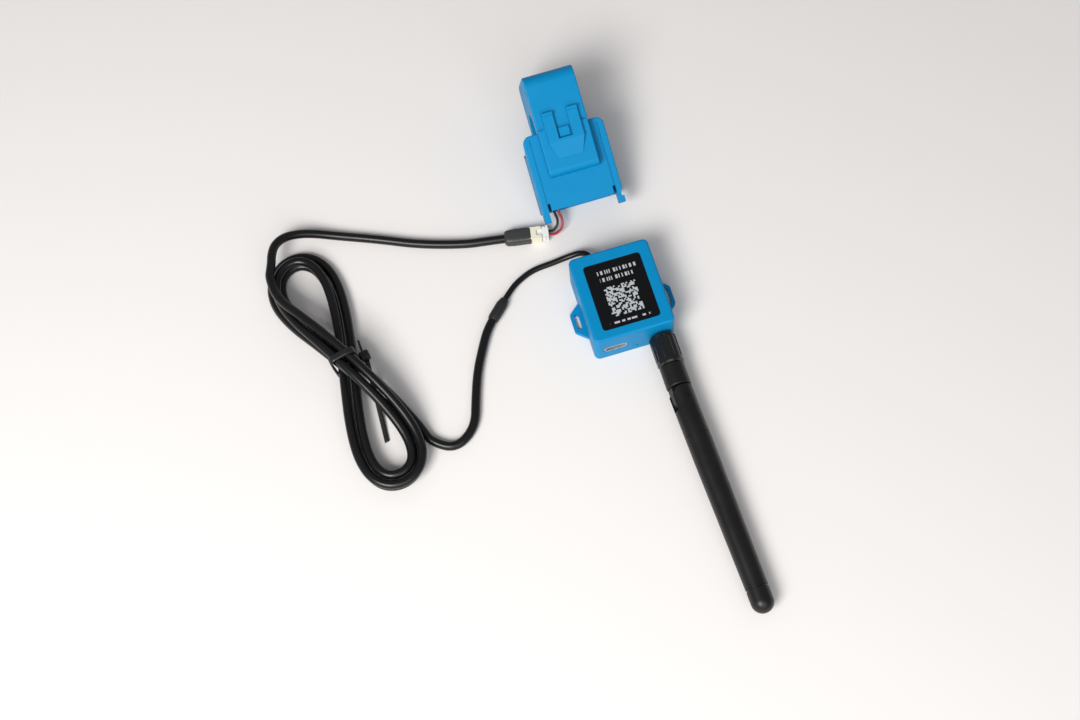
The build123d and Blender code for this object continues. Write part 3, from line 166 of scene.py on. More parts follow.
UPPER_LOOP_LEAN, LOWER_LOOP_LEAN, UPPER_LOOP_BOW = 2.0, 0.8, 1.6
HUMP_FROM, HUMP_SPAN, WAIST_RISE = 0.10, 0.75, 1.2


def smooth(x):
    """From 0 to 1 with level ends as x goes from 0 to 1."""
    x = min(max(x, 0.0), 1.0)
    return x * x * (3 - 2 * x)


def eight(angle):
    """The hank's outline: half cos t along it, and -sin t cos t (width + flare cos^2 t)(1 - slim cos t)
    across it."""
    c = math.cos(angle)
    return HANK_HALF * c, -math.sin(angle) * c * (HANK_WIDTH + HANK_FLARE * c ** 2) * (1 - HANK_SLIM * c)


def hank_point(turns):
    """The cable's centre after a number of turns: the outline, shifted square to itself by a step a
    turn, by the upper layer's lean and by a bow of the upper loop at its left. Its height is the
    layer's, plus two layers for a downward pass over the crossing, plus a small rise in the tie."""
    angle = 2 * math.pi * turns
    a, b = eight(angle)
    a2, b2 = eight(angle + 1e-4)
    speed = math.hypot(a2 - a, b2 - b)
    fall = smooth((turns - FALL_AT) / FALL_TURNS)
    entry = ENTRY_STEPS * (1 - smooth((turns - HANK_FIRST) / ENTRY_TURNS))
    ring = min(turns - HANK_FIRST, HANK_LAST - turns) - (HANK_LAST - HANK_FIRST) / 4
    lean = UPPER_LOOP_LEAN if a > 0 else LOWER_LOOP_LEAN
    shift = -HANK_STEP * (ring + entry) + lean * (1 - fall) * math.cos(angle)
    if a > 0 and b < 0:
        shift -= UPPER_LOOP_BOW * math.sin(2 * angle) ** 2
    a, b = a + shift * (b2 - b) / speed, b - shift * (a2 - a) / speed
    sink = smooth((turns - HANK_FIRST - SINK_AFTER) / SINK_TURNS)
    over = 1 - smooth((abs(math.cos(angle)) - HUMP_FROM) / HUMP_SPAN)
    over = 2 * over if math.sin(angle) > 0 else 0.0
    height = FLOOR + HANK_LAYER * (1 - fall + 1 - sink + over) + WAIST_RISE * math.sin(angle) ** 4
    return np.array((*(HANK_CENTRE + a * HANK_ALONG + b * HANK_ACROSS), height))


hank = [hank_point(HANK_FIRST + (HANK_LAST - HANK_FIRST) * i / HANK_COUNT)
        for i in range(HANK_COUNT + 1)]


def hank_way(turns):
    """Unit direction of the cable at that point."""
    way = hank_point(turns + 1e-5) - hank_point(turns - 1e-5)
    return way / np.linalg.norm(way)


LEAVE, ARRIVE = -hank_way(HANK_FIRST), hank_way(HANK_LAST)
HANK_IN = hank[0] + LEAVE * CABLE_D
HANK_OUT = hank[-1] + ARRIVE * CABLE_D
limb = [SLEEVE_TO - SLEEVE_WAY * TUCK, SLEEVE_TO + SLEEVE_WAY * 3.6, (-55.3, 0.2, 1.85),
        (-60.1, -9.2, 1.8), (-63.6, -19.4, 1.8), (-67.0, -31.0, 1.8), (-76.0, -37.0, 1.8),
        (-84.2, -31.6, 1.85), HANK_OUT]
upper = [HANK_IN, HANK_IN + LEAVE * 3, (-124.5, 58.6, 9.8), (-122.7, 63.0, 8.8), (-119.2, 66.0, 7.3),
         (-114.4, 67.2, 5.5), (-107.8, 66.5, 3.7), (-98.4, 63.1, 2.0), (-82.9, 56.6, 1.8),
         (-68.4, 49.6, 1.8), BOOT - PLUG_WAY * 16 - (0, 0, 0.4),
         BOOT - PLUG_WAY * 6, BOOT + PLUG_WAY * 2.5]
thin = [(-5.5, 14.8, 6.6), (-5.5, 21.5, 6.6), (-8.3, 25.2, 4.6), (-14.0, 26.0, 2.2),
        (-20.5, 25.7, 1.25), (-28.5, 25.2, 1.2), (-35.5, 22.0, 1.5),
        SLEEVE_FROM - SLEEVE_WAY * 3.5, SLEEVE_FROM + SLEEVE_WAY * TUCK]

main_cable = cord_curve("main_cable", limb + hank[::-1] + upper, CABLE_D)
thin_cable = cord_curve("thin_cable", thin, LEAD_D)
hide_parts("cable_lower", "cable_hank", "cable_upper")
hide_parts("thin_lead")
for piece in (main_cable, thin_cable):
    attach(piece, "transmitter")
    print(piece.name, "length in mm", round(length_of(piece) / MM, 1))

# %% [markdown]
# The red and the black wire leave the plug side by side, bulge to the right and rise into
# the slot in the clamp's end wall.

# %% Wires
CLAMP_AT = np.array((-2.4, 73.4, 17.64))
CLAMP_TILT = math.radians(25)
PLUG_SIDE = np.array((-PLUG_WAY[1], PLUG_WAY[0], 0.0))
PLUG_LENGTH, WIRE_OFF, WIRE_W = 15.8, 0.75, 3.2


def clamp_point(u, v, w):
    """A point of the clamp's own axes, in mm: u along the conductor, v to the jaw, w out of the face."""
    c, s = math.cos(CLAMP_TILT), math.sin(CLAMP_TILT)
    return CLAMP_AT + (u, v * c - w * s, v * s + w * c)


def clamp_wire(name, hidden, off, straight, bulge, u):
    """A wire from the plug, through a bulge of three points, into the clamp's end wall at u."""
    start = BOOT + PLUG_WAY * PLUG_LENGTH + PLUG_SIDE * off
    entry = [clamp_point(u, v, WIRE_W) for v in (-31.6, -26.2)]
    wire = cord_curve(name, [start, start + PLUG_WAY * straight, *bulge, *entry], WIRE_D)
    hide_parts(hidden)
    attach(wire, "clamp")
    print(name, "length in mm", round(length_of(wire) / MM, 1))
    return wire


red_lead = clamp_wire("red_lead", "red_wire", -WIRE_OFF, 3.2,
                      [(-15.2, 36.98, 2.4), (-12.3, 38.2, 3.4), (-11.3, 40.8, 5.1)], -9.85)
black_lead = clamp_wire("black_lead", "black_wire", WIRE_OFF, 2.2,
                        [(-16.0, 38.63, 2.4), (-13.7, 39.9, 3.6), (-13.1, 41.7, 5.5)], -11.35)

# %% [markdown]
# Soft sleeves are surfaces of two parameters: a distance along the axis and an angle round
# it. The section is a rounded rectangle of a superellipse, and a little noise of sines
# makes the shrunk tube look drawn on by heat.


# %% Surface helper
SLEEVE_COLUMNS = 48
UPWARD = np.array((0.0, 0.0, 1.0))


def surface(name, grid, ring=False):
    """A mesh from a grid of points in mm, rows along and columns round. It is closed round, and
    along it is either joined in a ring or capped."""
    index = np.arange(grid.shape[0] * grid.shape[1]).reshape(grid.shape[:2])
    if ring:
        index = np.concatenate([index, index[:1]])
    beside = np.roll(index, -1, axis=1)
    faces = np.stack([index[:-1], beside[:-1], beside[1:], index[1:]], axis=-1).reshape(-1, 4).tolist()
    if not ring:
        faces += [index[0, ::-1].tolist(), index[-1].tolist()]
    mesh = bpy.data.meshes.new(name)
    mesh.from_pydata((grid.reshape(-1, 3) * MM).tolist(), [], faces)
    mesh.update()
    mesh.shade_smooth()
    return link(bpy.data.objects.new(name, mesh))


def sleeve_surface(name, start, way, lengths, half_w, half_h, power, ripple):
    """A tube along a level axis: at each length the section is |y/w|^p + |z/h|^p = 1, times
    1 + ripple sin(3 t + 1.7 l) sin(1.3 l)."""
    across = np.array((-way[1], way[0], 0.0))
    angle = np.linspace(0, 2 * math.pi, SLEEVE_COLUMNS, endpoint=False)
    c, s = np.cos(angle), np.sin(angle)
    l, w, h, p = (np.broadcast_to(v, len(lengths))[:, None] for v in (lengths, half_w, half_h, power))
    radius = (np.abs(c) ** p + np.abs(s) ** p) ** (-1 / p)
    radius = radius * (1 + ripple * np.sin(3 * angle + 1.7 * l) * np.sin(1.3 * l))
    grid = start + way * l[..., None] + (radius * c * w)[..., None] * across
    return surface(name, grid + (radius * s * h)[..., None] * UPWARD)


# %% Shrink sleeve and boot
SLEEVE_R, SLEEVE_WALL, SLEEVE_ROWS, THIN_RAMP, THICK_RAMP = 2.22, 0.3, 41, 2.6, 1.6
BOOT_LENGTH, BOOT_ROWS, BOOT_NOSE, BOOT_HEEL = 10.6, 45, 1.1, 0.45
BOOT_END, BOOT_SWELL = (2.15, 1.75), (0.9, 0.6)
BOOT_POWER, BOOT_SQUARING, BOOT_SQUARE_AT = 2.3, 2.2, 4


def ramp(distance, run, diameter):
    """A sleeve's radius that swells from a cord's own, with the wall, to the full one over a run."""
    bare = diameter / 2 + SLEEVE_WALL
    return bare + (SLEEVE_R - bare) * np.clip(distance / run, 0, 1) ** 0.8


length = float(np.linalg.norm(SLEEVE_TO - SLEEVE_FROM))
along = np.linspace(0, length, SLEEVE_ROWS)
radius = np.minimum(ramp(along, THIN_RAMP, LEAD_D), ramp(length - along, THICK_RAMP, CABLE_D))
shrink_sleeve = sleeve_surface("shrink_sleeve", SLEEVE_FROM, SLEEVE_WAY, along, radius, radius, 2.0,
                               ripple=0.008)
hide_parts("joint_sleeve")

along = np.linspace(0, BOOT_LENGTH, BOOT_ROWS)
ends = np.clip(np.minimum(along / BOOT_NOSE, (BOOT_LENGTH - along) / BOOT_HEEL), 0, 1) ** 0.5
half_w, half_h = (end + swell * ends for end, swell in zip(BOOT_END, BOOT_SWELL))
squaring = BOOT_POWER + BOOT_SQUARING * np.clip(along / BOOT_SQUARE_AT, 0, 1)
cable_boot = sleeve_surface("cable_boot", BOOT, PLUG_WAY, along, half_w, half_h, squaring, ripple=0.012)
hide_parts("connector_boot")
for piece in (shrink_sleeve, cable_boot):
    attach(piece, "transmitter")
print("sleeve length in mm", round(length, 1))

# %% [markdown]
# The cable tie is a flat nylon strap swept round the hank's waist, a ratchet head on its
# right, the short stub that stands off the head and the long tail that lies down to the
# surface. Each is one rounded section carried along a path. The strap's path is the tightest
# loop round the strands that pass through it, and the tail's is a sagging curve.


# %% Cable tie
STRAP_WIDTH, STRAP_THICK, STRAP_CLEAR, STRAP_COUNT = 2.6, 0.95, 0.51, 120
TAIL_WIDTH, TAIL_THICK, TAIL_TEETH = 1.9, 0.8, 0.06
HEAD_AT, HEAD_HALF, HEAD_END = (8.45, 6.6), (2.0, 1.75, 1.95), 0.55
TIE_ACROSS = np.array((*HANK_ALONG, 0.0))
TAIL_ACROSS = np.array((*HANK_ACROSS, 0.0))
WAIST_REACH, TIE_SIDE = 12, 8.4


def round_square(power, count):
    """Cosines and sines round a superellipse |x|^p + |y|^p = 1, started half a step in."""
    angle = (np.arange(count) + 0.5) * 2 * math.pi / count
    c, s = np.cos(angle), np.sin(angle)
    radius = (np.abs(c) ** power + np.abs(s) ** power) ** (-1 / power)
    return radius * c, radius * s


def ribbon(name, path, across, width, thick, closed=False, teeth=0.0):
    """A strap: a rounded flat section carried along a path in mm, its width along a fixed direction,
    its thickness stepped by the teeth."""
    path = np.asarray(path, float)
    way = np.gradient(path, axis=0) if not closed else np.roll(path, -1, 0) - np.roll(path, 1, 0)
    way /= np.linalg.norm(way, axis=1)[:, None]
    out = np.cross(way, across)
    out /= np.linalg.norm(out, axis=1)[:, None]
    wide, high = round_square(6, 20)
    step = 1 + teeth * np.sign(np.sin(np.arange(len(path)) * 1.6))
    grid = (path[:, None] + (wide * width / 2)[None, :, None] * across
            + (high * thick / 2)[None, :, None] * (step[:, None] * out)[:, None])
    return surface(name, grid, ring=closed)


def tie_place(b, a, z):
    """A point of the tie's own axes: b across the hank, a along it."""
    return np.array((*(HANK_CENTRE + a * HANK_ALONG + b * HANK_ACROSS), z))


def strands_at(edge):
    """Where the cable's line crosses a plane across the hank near its waist: across and height in mm,
    one row a strand."""
    line = centre_line(main_cable) / MM
    along = (line[:, :2] - HANK_CENTRE) @ HANK_ALONG
    places = np.column_stack([(line[:, :2] - HANK_CENTRE) @ HANK_ACROSS, line[:, 2]])
    at = np.flatnonzero((along[:-1] - edge) * (along[1:] - edge) < 0)
    share = ((edge - along[at]) / (along[at + 1] - along[at]))[:, None]
    met = places[at] + share * (places[at + 1] - places[at])
    return met[np.abs(met[:, 0]) < WAIST_REACH]


def tight_loop(centres, clear):
    """The tightest loop round strands: in each direction n, the farthest centre plus clear times n,
    spaced evenly."""
    angle = np.linspace(0, 2 * math.pi, 361)
    ways = np.column_stack([np.cos(angle), np.sin(angle)])
    hull = centres[np.argmax(centres @ ways.T, axis=0)] + clear * ways
    run = np.concatenate([[0.0], np.cumsum(np.linalg.norm(np.diff(hull, axis=0), axis=1))])
    even = np.linspace(0, run[-1], STRAP_COUNT, endpoint=False)
    return np.column_stack([np.interp(even, run, hull[:, 0]), np.interp(even, run, hull[:, 1])])


tied = np.concatenate([strands_at(edge) for edge in (-STRAP_WIDTH / 2, 0.0, STRAP_WIDTH / 2)])
loop = [tie_place(b, 0.0, z) for b, z in tight_loop(tied, CABLE_D / 2 + STRAP_CLEAR)]
tie_strap = ribbon("tie_strap", loop, TIE_ACROSS, STRAP_WIDTH, STRAP_THICK, closed=True)
# The tail runs back along the hank and sinks as (1 - t)^1.6, and the stub stands off the other way
tail = [tie_place(TIE_SIDE - 7.4 * t, -1.6 - 31.4 * t, 0.5 + 4.7 * (1 - t) ** 1.6)
        for t in np.linspace(0, 1, 60)]
tie_tail = ribbon("tie_tail", tail, TAIL_ACROSS, TAIL_WIDTH, TAIL_THICK, teeth=TAIL_TEETH)
stub = [tie_place(TIE_SIDE + 0.6 * t * t, 0.5 + 6.4 * t, 6.6 - 0.5 * t) for t in np.linspace(0, 1, 24)]
tie_stub = ribbon("tie_stub", stub, UPWARD, TAIL_WIDTH, TAIL_THICK, teeth=TAIL_TEETH)
wide, high = round_square(5, 40)
head_rows = np.linspace(-1, 1, 25)
head_ends = np.maximum((1 - np.abs(head_rows) ** 6) ** (1 / 6), HEAD_END)
head = [[tie_place(HEAD_AT[0] + HEAD_HALF[0] * row, HEAD_HALF[1] * x * end,
                   HEAD_AT[1] + HEAD_HALF[2] * y * end) for x, y in zip(wide, high)]
        for row, end in zip(head_rows, head_ends)]
tie_head = surface("tie_head", np.array(head))
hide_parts("cable_tie")
for piece in (tie_strap, tie_tail, tie_stub, tie_head):
    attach(piece, "transmitter")
print("strands in the tie", len(tied) // 3)

# %% [markdown]
# Materials are built from small node groups, one for each effect that several finishes
# share: a mottle that varies a colour, a grain that gives a height for the bump, and rare
# specks of dust. All of them read object coordinates, in metres, so the grain has the same
# real size on every piece.


# %% Node helpers
def group_tree(name, inputs, outputs):
    """An empty node group with its sockets, and its input and output nodes."""
    tree = bpy.data.node_groups.new(name, "ShaderNodeTree")
    for label, kind, default in inputs:
        socket = tree.interface.new_socket(label, in_out="INPUT", socket_type=kind)
        if default is not None:
            socket.default_value = default
    for label, kind in outputs:
        tree.interface.new_socket(label, in_out="OUTPUT", socket_type=kind)
    return tree, tree.nodes.new("NodeGroupInput"), tree.nodes.new("NodeGroupOutput")


def node(tree, kind, links=None, **settings):
    """A node with attributes or input values set, and its inputs linked from given sockets."""
    new = tree.nodes.new(kind)
    for key, value in settings.items():
        if hasattr(new, key):
            setattr(new, key, value)
        else:
            new.inputs[key.replace("_", " ")].default_value = value
    for key, socket in (links or {}).items():
        tree.links.new(socket, new.inputs[key])
    return new


def math_node(tree, operation, a, b=None, clamp=False):
    """A math node on sockets or numbers, returning its result socket."""
    new = tree.nodes.new("ShaderNodeMath")
    new.operation = operation
    new.use_clamp = clamp
    for i, value in enumerate((a, b)):
        if value is None:
            continue
        if isinstance(value, (int, float)):
            new.inputs[i].default_value = value
        else:
            tree.links.new(value, new.inputs[i])
    return new.outputs[0]


FLOAT, COLOUR, VECTOR = "NodeSocketFloat", "NodeSocketColor", "NodeSocketVector"

# Mottle: a colour times 1 + amount (noise - 1/2), so soft noise makes it lighter and darker
mottle, gin, gout = group_tree("mottle", [("Vector", VECTOR, None), ("Colour", COLOUR, None),
                                          ("Scale", FLOAT, 60.0), ("Amount", FLOAT, 0.1)],
                               [("Colour", COLOUR)])
given = gin.outputs
noise = node(mottle, "ShaderNodeTexNoise", {"Vector": given["Vector"], "Scale": given["Scale"]},
             Detail=4.0, Roughness=0.6)
half = math_node(mottle, "MULTIPLY", given["Amount"], 0.5)
shade = math_node(mottle, "MULTIPLY_ADD", noise.outputs["Fac"], given["Amount"])
mottle.links.new(math_node(mottle, "SUBTRACT", 1.0, half), shade.node.inputs[2])
scaled = node(mottle, "ShaderNodeVectorMath", {0: given["Colour"], "Scale": shade}, operation="SCALE")
mottle.links.new(scaled.outputs[0], gout.inputs["Colour"])

# Grain: a fine moulded texture plus a slower waviness, as one height
grain, gin, gout = group_tree("grain", [("Vector", VECTOR, None), ("Scale", FLOAT, 5000.0),
                                        ("Wave", FLOAT, 0.3)], [("Height", FLOAT)])
given = gin.outputs
fine = node(grain, "ShaderNodeTexNoise", {"Vector": given["Vector"], "Scale": given["Scale"]},
            Detail=2.0, Roughness=0.5)
slow = node(grain, "ShaderNodeTexNoise", {"Vector": given["Vector"]}, Scale=180.0, Detail=2.0)
total = math_node(grain, "MULTIPLY_ADD", slow.outputs["Fac"], given["Wave"])
grain.links.new(fine.outputs["Fac"], total.node.inputs[2])
grain.links.new(total, gout.inputs["Height"])

# Specks: a dot, 0 or 1, at the middle of the few cells whose chance value passes a limit
RARE = 0.86
specks, gin, gout = group_tree("specks", [("Vector", VECTOR, None), ("Scale", FLOAT, 900.0),
                                          ("Size", FLOAT, 0.12)], [("Mask", FLOAT)])
given = gin.outputs
cells = node(specks, "ShaderNodeTexVoronoi", {"Vector": given["Vector"], "Scale": given["Scale"]})
dot = math_node(specks, "LESS_THAN", cells.outputs["Distance"], given["Size"])
chances = node(specks, "ShaderNodeSeparateColor", {"Color": cells.outputs["Color"]})
chosen = math_node(specks, "GREATER_THAN", chances.outputs[0], RARE)
specks.links.new(math_node(specks, "MULTIPLY", dot, chosen), gout.inputs["Mask"])


class Finish:
    """A material with its Principled shader, its object coordinates and the shared groups at hand."""

    def __init__(self, name, **constants):
        self.material = bpy.data.materials.new(name)
        self.material.use_nodes = True
        self.tree = self.material.node_tree
        self.shader = self.tree.nodes["Principled BSDF"]
        self.place = self.tree.nodes.new("ShaderNodeTexCoord").outputs["Object"]
        for key, value in constants.items():
            self.shader.inputs[key.replace("_", " ")].default_value = value

    def use(self, tree, links=None, **values):
        """One of the node groups, placed on the object coordinates."""
        new = self.tree.nodes.new("ShaderNodeGroup")
        new.node_tree = tree
        self.tree.links.new(self.place, new.inputs["Vector"])
        for key, value in values.items():
            new.inputs[key].default_value = value
        for key, socket in (links or {}).items():
            self.tree.links.new(socket, new.inputs[key])
        return new.outputs[0]

    def colour(self, rgb, scale=60.0, amount=0.1, dust=None):
        """Base colour with its mottle, and pale dust specks if asked."""
        value = self.use(mottle, Colour=(*rgb, 1), Scale=scale, Amount=amount)
        if dust:
            mask = self.use(specks, Scale=dust[0], Size=dust[1])
            mix = node(self.tree, "ShaderNodeMix", {0: mask, 6: value}, data_type="RGBA")
            mix.inputs[7].default_value = (*dust[2], 1)
            value = mix.outputs[2]
        self.tree.links.new(value, self.shader.inputs["Base Color"])
        return value

    def rough(self, low, high, scale=90.0):
        """Roughness that drifts between two values."""
        noise = node(self.tree, "ShaderNodeTexNoise", {"Vector": self.place}, Scale=scale, Detail=3.0)
        span = node(self.tree, "ShaderNodeMapRange", {"Value": noise.outputs["Fac"]})
        span.inputs["From Min"].default_value = 0.3
        span.inputs["From Max"].default_value = 0.7
        span.inputs["To Min"].default_value = low
        span.inputs["To Max"].default_value = high
        self.tree.links.new(span.outputs[0], self.shader.inputs["Roughness"])

    def bump(self, height, strength=0.3, depth=0.05):
        """Bump from a height socket, its depth in mm."""
        new = node(self.tree, "ShaderNodeBump", {"Height": height}, Strength=strength)
        new.inputs["Distance"].default_value = depth * MM
        self.tree.links.new(new.outputs[0], self.shader.inputs["Normal"])


# %% [markdown]
# The finishes. Blue plastic is fine matt moulding, the antenna's black is a satin plastic
# with a finer grain and its collar a glossier one, the cable's rubber has a soft sheen, the
# shrink tube and the boot are duller, and small metal parts are bright where the port shows.
# The pieces inside are finished too, because the clamp opens and shows its core.

# %% Materials
blue = Finish("blue_plastic", Specular_IOR_Level=0.18)
blue.colour((0.0, 0.218, 0.465), scale=45.0, amount=0.07)
blue.rough(0.38, 0.50)
blue.bump(blue.use(grain, Scale=5200.0, Wave=0.4), strength=0.22, depth=0.03)

satin = Finish("antenna_plastic", Specular_IOR_Level=0.36)
satin.colour((0.0050, 0.0050, 0.0052), scale=120.0, amount=0.25, dust=(700.0, 0.05, (0.10, 0.10, 0.10)))
satin.rough(0.32, 0.44)
satin.bump(satin.use(grain, Scale=6500.0, Wave=0.25), strength=0.2, depth=0.025)

gloss = Finish("collar_plastic", Specular_IOR_Level=0.55)
gloss.colour((0.0045, 0.0045, 0.0047), scale=120.0, amount=0.25)
gloss.rough(0.17, 0.25)
gloss.bump(gloss.use(grain, Scale=6500.0, Wave=0.25), strength=0.12, depth=0.02)

rubber = Finish("cable_rubber", Specular_IOR_Level=0.34)
rubber.colour((0.0042, 0.0042, 0.0045), scale=200.0, amount=0.3, dust=(600.0, 0.045, (0.09, 0.09, 0.09)))
rubber.rough(0.26, 0.36)
rubber.bump(rubber.use(grain, Scale=2600.0, Wave=0.6), strength=0.18, depth=0.04)

shrink = Finish("shrink_tube", Specular_IOR_Level=0.4)
shrink.colour((0.013, 0.013, 0.0127), scale=300.0, amount=0.3)
shrink.rough(0.42, 0.55)
shrink.bump(shrink.use(grain, Scale=1800.0, Wave=1.2), strength=0.3, depth=0.06)

boot_skin = Finish("boot_rubber")
boot_skin.colour((0.033, 0.033, 0.032), scale=300.0, amount=0.3)
boot_skin.rough(0.42, 0.55)
boot_skin.bump(boot_skin.use(grain, Scale=1800.0, Wave=1.2), strength=0.3, depth=0.06)

tie_plastic = Finish("black_plastic")
tie_plastic.colour((0.006, 0.006, 0.0065), scale=200.0, amount=0.3)
tie_plastic.rough(0.38, 0.5)
tie_plastic.bump(tie_plastic.use(grain, Scale=4000.0, Wave=0.3), strength=0.2, depth=0.03)

cream = Finish("cream_plastic", Specular_IOR_Level=0.4)
cream.colour((0.76, 0.72, 0.55), scale=150.0, amount=0.1)
cream.rough(0.42, 0.55)
cream.bump(cream.use(grain, Scale=5000.0, Wave=0.3), strength=0.15, depth=0.02)

white = Finish("white_plastic", Specular_IOR_Level=0.4)
white.colour((0.80, 0.80, 0.75), scale=150.0, amount=0.08)
white.rough(0.38, 0.5)
white.bump(white.use(grain, Scale=5000.0, Wave=0.3), strength=0.15, depth=0.02)

red = Finish("red_insulation")
red.colour((0.34, 0.008, 0.02), scale=400.0, amount=0.15)
red.rough(0.28, 0.4)
red.bump(red.use(grain, Scale=4000.0, Wave=0.4), strength=0.15, depth=0.02)

steel = Finish("steel", Metallic=1.0)
steel.colour((0.93, 0.93, 0.92), scale=500.0, amount=0.10)
steel.rough(0.30, 0.42, scale=700.0)
steel.bump(steel.use(grain, Scale=7000.0, Wave=0.3), strength=0.1, depth=0.01)

brass = Finish("brass", Metallic=1.0)
brass.colour((0.78, 0.57, 0.23), scale=500.0, amount=0.12)
brass.rough(0.24, 0.36, scale=700.0)
brass.bump(brass.use(grain, Scale=7000.0, Wave=0.3), strength=0.1, depth=0.01)

gold = Finish("gold_contact", Metallic=1.0)
gold.colour((0.9, 0.68, 0.25), scale=500.0, amount=0.08)
gold.rough(0.18, 0.28, scale=700.0)
gold.bump(gold.use(grain, Scale=7000.0, Wave=0.3), strength=0.08, depth=0.01)

copper = Finish("copper_coil", Metallic=0.6)
copper.colour((0.72, 0.35, 0.18), scale=800.0, amount=0.2)
copper.rough(0.28, 0.4, scale=700.0)
copper.bump(copper.use(grain, Scale=3000.0, Wave=0.8), strength=0.3, depth=0.05)

board = Finish("board_green")
board.colour((0.02, 0.16, 0.06), scale=300.0, amount=0.2)
board.rough(0.32, 0.45)
board.bump(board.use(grain, Scale=2500.0, Wave=0.5), strength=0.2, depth=0.02)

chip = Finish("chip_black")
chip.colour((0.015, 0.015, 0.016), scale=400.0, amount=0.2)
chip.rough(0.45, 0.6)
chip.bump(chip.use(grain, Scale=7000.0, Wave=0.2), strength=0.25, depth=0.02)

iron = Finish("core_iron", Metallic=0.7)
iron.colour((0.2, 0.2, 0.21), scale=300.0, amount=0.3)
iron.rough(0.35, 0.55)
iron.bump(iron.use(grain, Scale=3000.0, Wave=0.5), strength=0.3, depth=0.03)

insulator = Finish("insulator")
insulator.colour((0.85, 0.85, 0.83), scale=150.0, amount=0.06)
insulator.rough(0.35, 0.45)
insulator.bump(insulator.use(grain, Scale=5000.0, Wave=0.3), strength=0.1, depth=0.02)

foam = Finish("foam")
foam.colour((0.05, 0.05, 0.05), scale=900.0, amount=0.5)
foam.rough(0.8, 0.95)
foam.bump(foam.use(grain, Scale=2200.0, Wave=0.2), strength=0.8, depth=0.15)

lamp = Finish("light", Transmission_Weight=0.3)
lamp.colour((0.6, 0.85, 0.6), scale=300.0, amount=0.08)
lamp.rough(0.15, 0.25)
lamp.bump(lamp.use(grain, Scale=5000.0, Wave=0.2), strength=0.08, depth=0.01)

# %% [markdown]
# The label is a dark sticker with a soft gloss. Its print is generic: three rows of plain
# pale ticks of chance widths, and a field of small pale squares scattered by chance on a
# grid. Both come from white noise on coordinates that are snapped to cells.

# %% Label material
CELL, TICK = 0.62, 0.42
FIELD_SHARE, TICK_SHARE = 0.5, 0.45
FIELD = ((-6.2, 6.2), (-9.9, 2.48))
ROWS = (((-8.4, 8.4), (8.0, 9.6)), ((-6.4, 6.4), (5.0, 6.6)), ((-8.0, 8.0), (-12.7, -11.9)))
GROUND, INK = (0.0028, 0.003, 0.004), (0.42, 0.45, 0.47)

label = Finish("label_black", Specular_IOR_Level=0.22)
place = node(label.tree, "ShaderNodeSeparateXYZ", {0: label.place}).outputs


def inside(value, low, high):
    """1 where a value in metres lies between two limits given in mm."""
    return math_node(label.tree, "MULTIPLY", math_node(label.tree, "GREATER_THAN", value, low * MM),
                     math_node(label.tree, "LESS_THAN", value, high * MM))


def window(x_span, y_span):
    """1 inside a rectangle of the label, in mm."""
    return math_node(label.tree, "MULTIPLY", inside(place[0], *x_span), inside(place[1], *y_span))


def scatter(step, share):
    """1 in the cells of a given step in metres whose white noise passes the share."""
    snap = node(label.tree, "ShaderNodeVectorMath", {0: label.place}, operation="SNAP")
    snap.inputs[1].default_value = step
    chance = node(label.tree, "ShaderNodeTexWhiteNoise", {"Vector": snap.outputs[0]})
    return math_node(label.tree, "GREATER_THAN", chance.outputs["Value"], share)


squares = scatter((CELL * MM, CELL * MM, 1.0), FIELD_SHARE)
field = math_node(label.tree, "MULTIPLY", window(*FIELD), squares)
rows = window(*ROWS[0])
for row in ROWS[1:]:
    rows = math_node(label.tree, "ADD", rows, window(*row))
ticks = math_node(label.tree, "MULTIPLY", rows, scatter((TICK * MM, 1.0, 1.0), TICK_SHARE))
ink = math_node(label.tree, "ADD", field, ticks, clamp=True)
ground = label.colour(GROUND, scale=150.0, amount=0.2)
printed = node(label.tree, "ShaderNodeMix", {0: ink, 6: ground}, data_type="RGBA")
printed.inputs[7].default_value = (*INK, 1)
label.tree.links.new(printed.outputs[2], label.shader.inputs["Base Color"])
label.rough(0.26, 0.36)
label.bump(label.use(grain, Scale=3000.0, Wave=0.5), strength=0.1, depth=0.02)
print("label rows", len(ROWS))

# %% [markdown]
# Each node takes the finish of its material slot in the record, so nothing is left in a
# flat colour, seen or unseen. Only the collar has a finish of its own. Beside each group of
# new pieces the table lists the slot that it stands for, though the loop does not use it.

# %% Assign materials
FINISHES = {"blue_plastic": blue, "black_plastic": tie_plastic, "antenna_plastic": satin,
            "cable_rubber": rubber, "label_black": label, "cream_plastic": cream, "white_plastic": white,
            "steel": steel, "brass": brass, "gold_contact": gold, "copper_coil": copper,
            "board_green": board, "chip_black": chip, "red_insulation": red, "insulator": insulator,
            "core_iron": iron, "foam": foam, "light": lamp}


def paint(obj, finish):
    """Give an object one finish in all its slots."""
    if obj.material_slots:
        for place in obj.material_slots:
            place.material = finish.material
    else:
        obj.data.materials.append(finish.material)


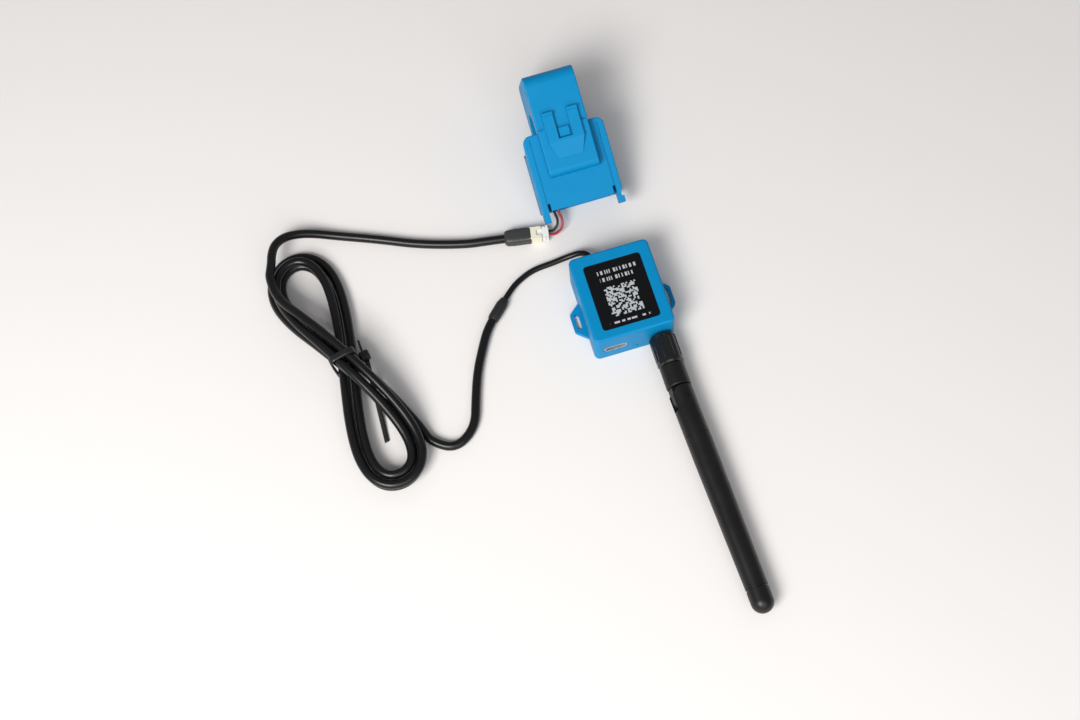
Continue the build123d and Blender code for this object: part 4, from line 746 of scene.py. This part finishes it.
for part in frame["record"]["subparts"]:
    paint(nodes[part["node"]], FINISHES[part["material_slot"]])
paint(nodes["antenna_collar"], gloss)
for finish, slot, pieces in ((rubber, "cable_rubber", (main_cable, thin_cable, black_lead)),
                             (red, "red_insulation", (red_lead,)),
                             (shrink, "cable_rubber", (shrink_sleeve,)),
                             (boot_skin, "cable_rubber", (cable_boot,)),
                             (tie_plastic, "black_plastic", (tie_strap, tie_tail, tie_stub, tie_head))):
    for piece in pieces:
        paint(piece, finish)
print("materials", len(FINISHES))

# %% Cord lengths, computed and not kept
length_of(main_cable)
length_of(thin_cable)

# %% [markdown]
# A plain pale surface and large soft lights: the main one from the left and front, as the
# shadows to the right in the photograph show, and a wider, weaker one from the front. A dim
# even sky fills the shadows. Places and sizes are in metres, and powers in watts.

# %% Floor and lights
FLOOR_SIZE, PAPER = 24.0, (0.785, 0.762, 0.742)
SKY, SKY_LEVEL = (0.95, 0.96, 1.0), 0.29

bpy.ops.mesh.primitive_plane_add(size=FLOOR_SIZE, location=(0, 0, 0))
floor = bpy.context.object
floor.name = "floor"
floor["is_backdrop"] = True
paper = Finish("paper")
paper.colour(PAPER, scale=6.0, amount=0.02)
paper.rough(0.6, 0.7)
paper.bump(paper.use(grain, Scale=1500.0, Wave=0.2), strength=0.05, depth=0.03)
paint(floor, paper)

world = bpy.data.worlds.new("world")
scene.world = world
world.use_nodes = True
sky = world.node_tree.nodes["Background"].inputs
sky["Color"].default_value = (*SKY, 1)
sky["Strength"].default_value = SKY_LEVEL


def soft_light(name, place, aim, size, power, tint=(1, 1, 1)):
    """A square area light that looks at a point."""
    data = bpy.data.lights.new(name, "AREA")
    data.size = size
    data.energy = power
    data.color = tint
    light = link(bpy.data.objects.new(name, data))
    light.location = place
    light.rotation_euler = (Vector(aim) - Vector(place)).to_track_quat("-Z", "Y").to_euler()


soft_light("key", (-0.55, -0.50, 0.76), (-0.05, 0.0, 0.0), 0.45, 10.8, tint=(1.0, 0.985, 0.97))
soft_light("fill", (-0.10, -1.05, 0.85), (-0.02, -0.05, 0.0), 1.2, 7.6)
scene.view_settings.view_transform = "Standard"

# %% Finish
low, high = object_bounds()
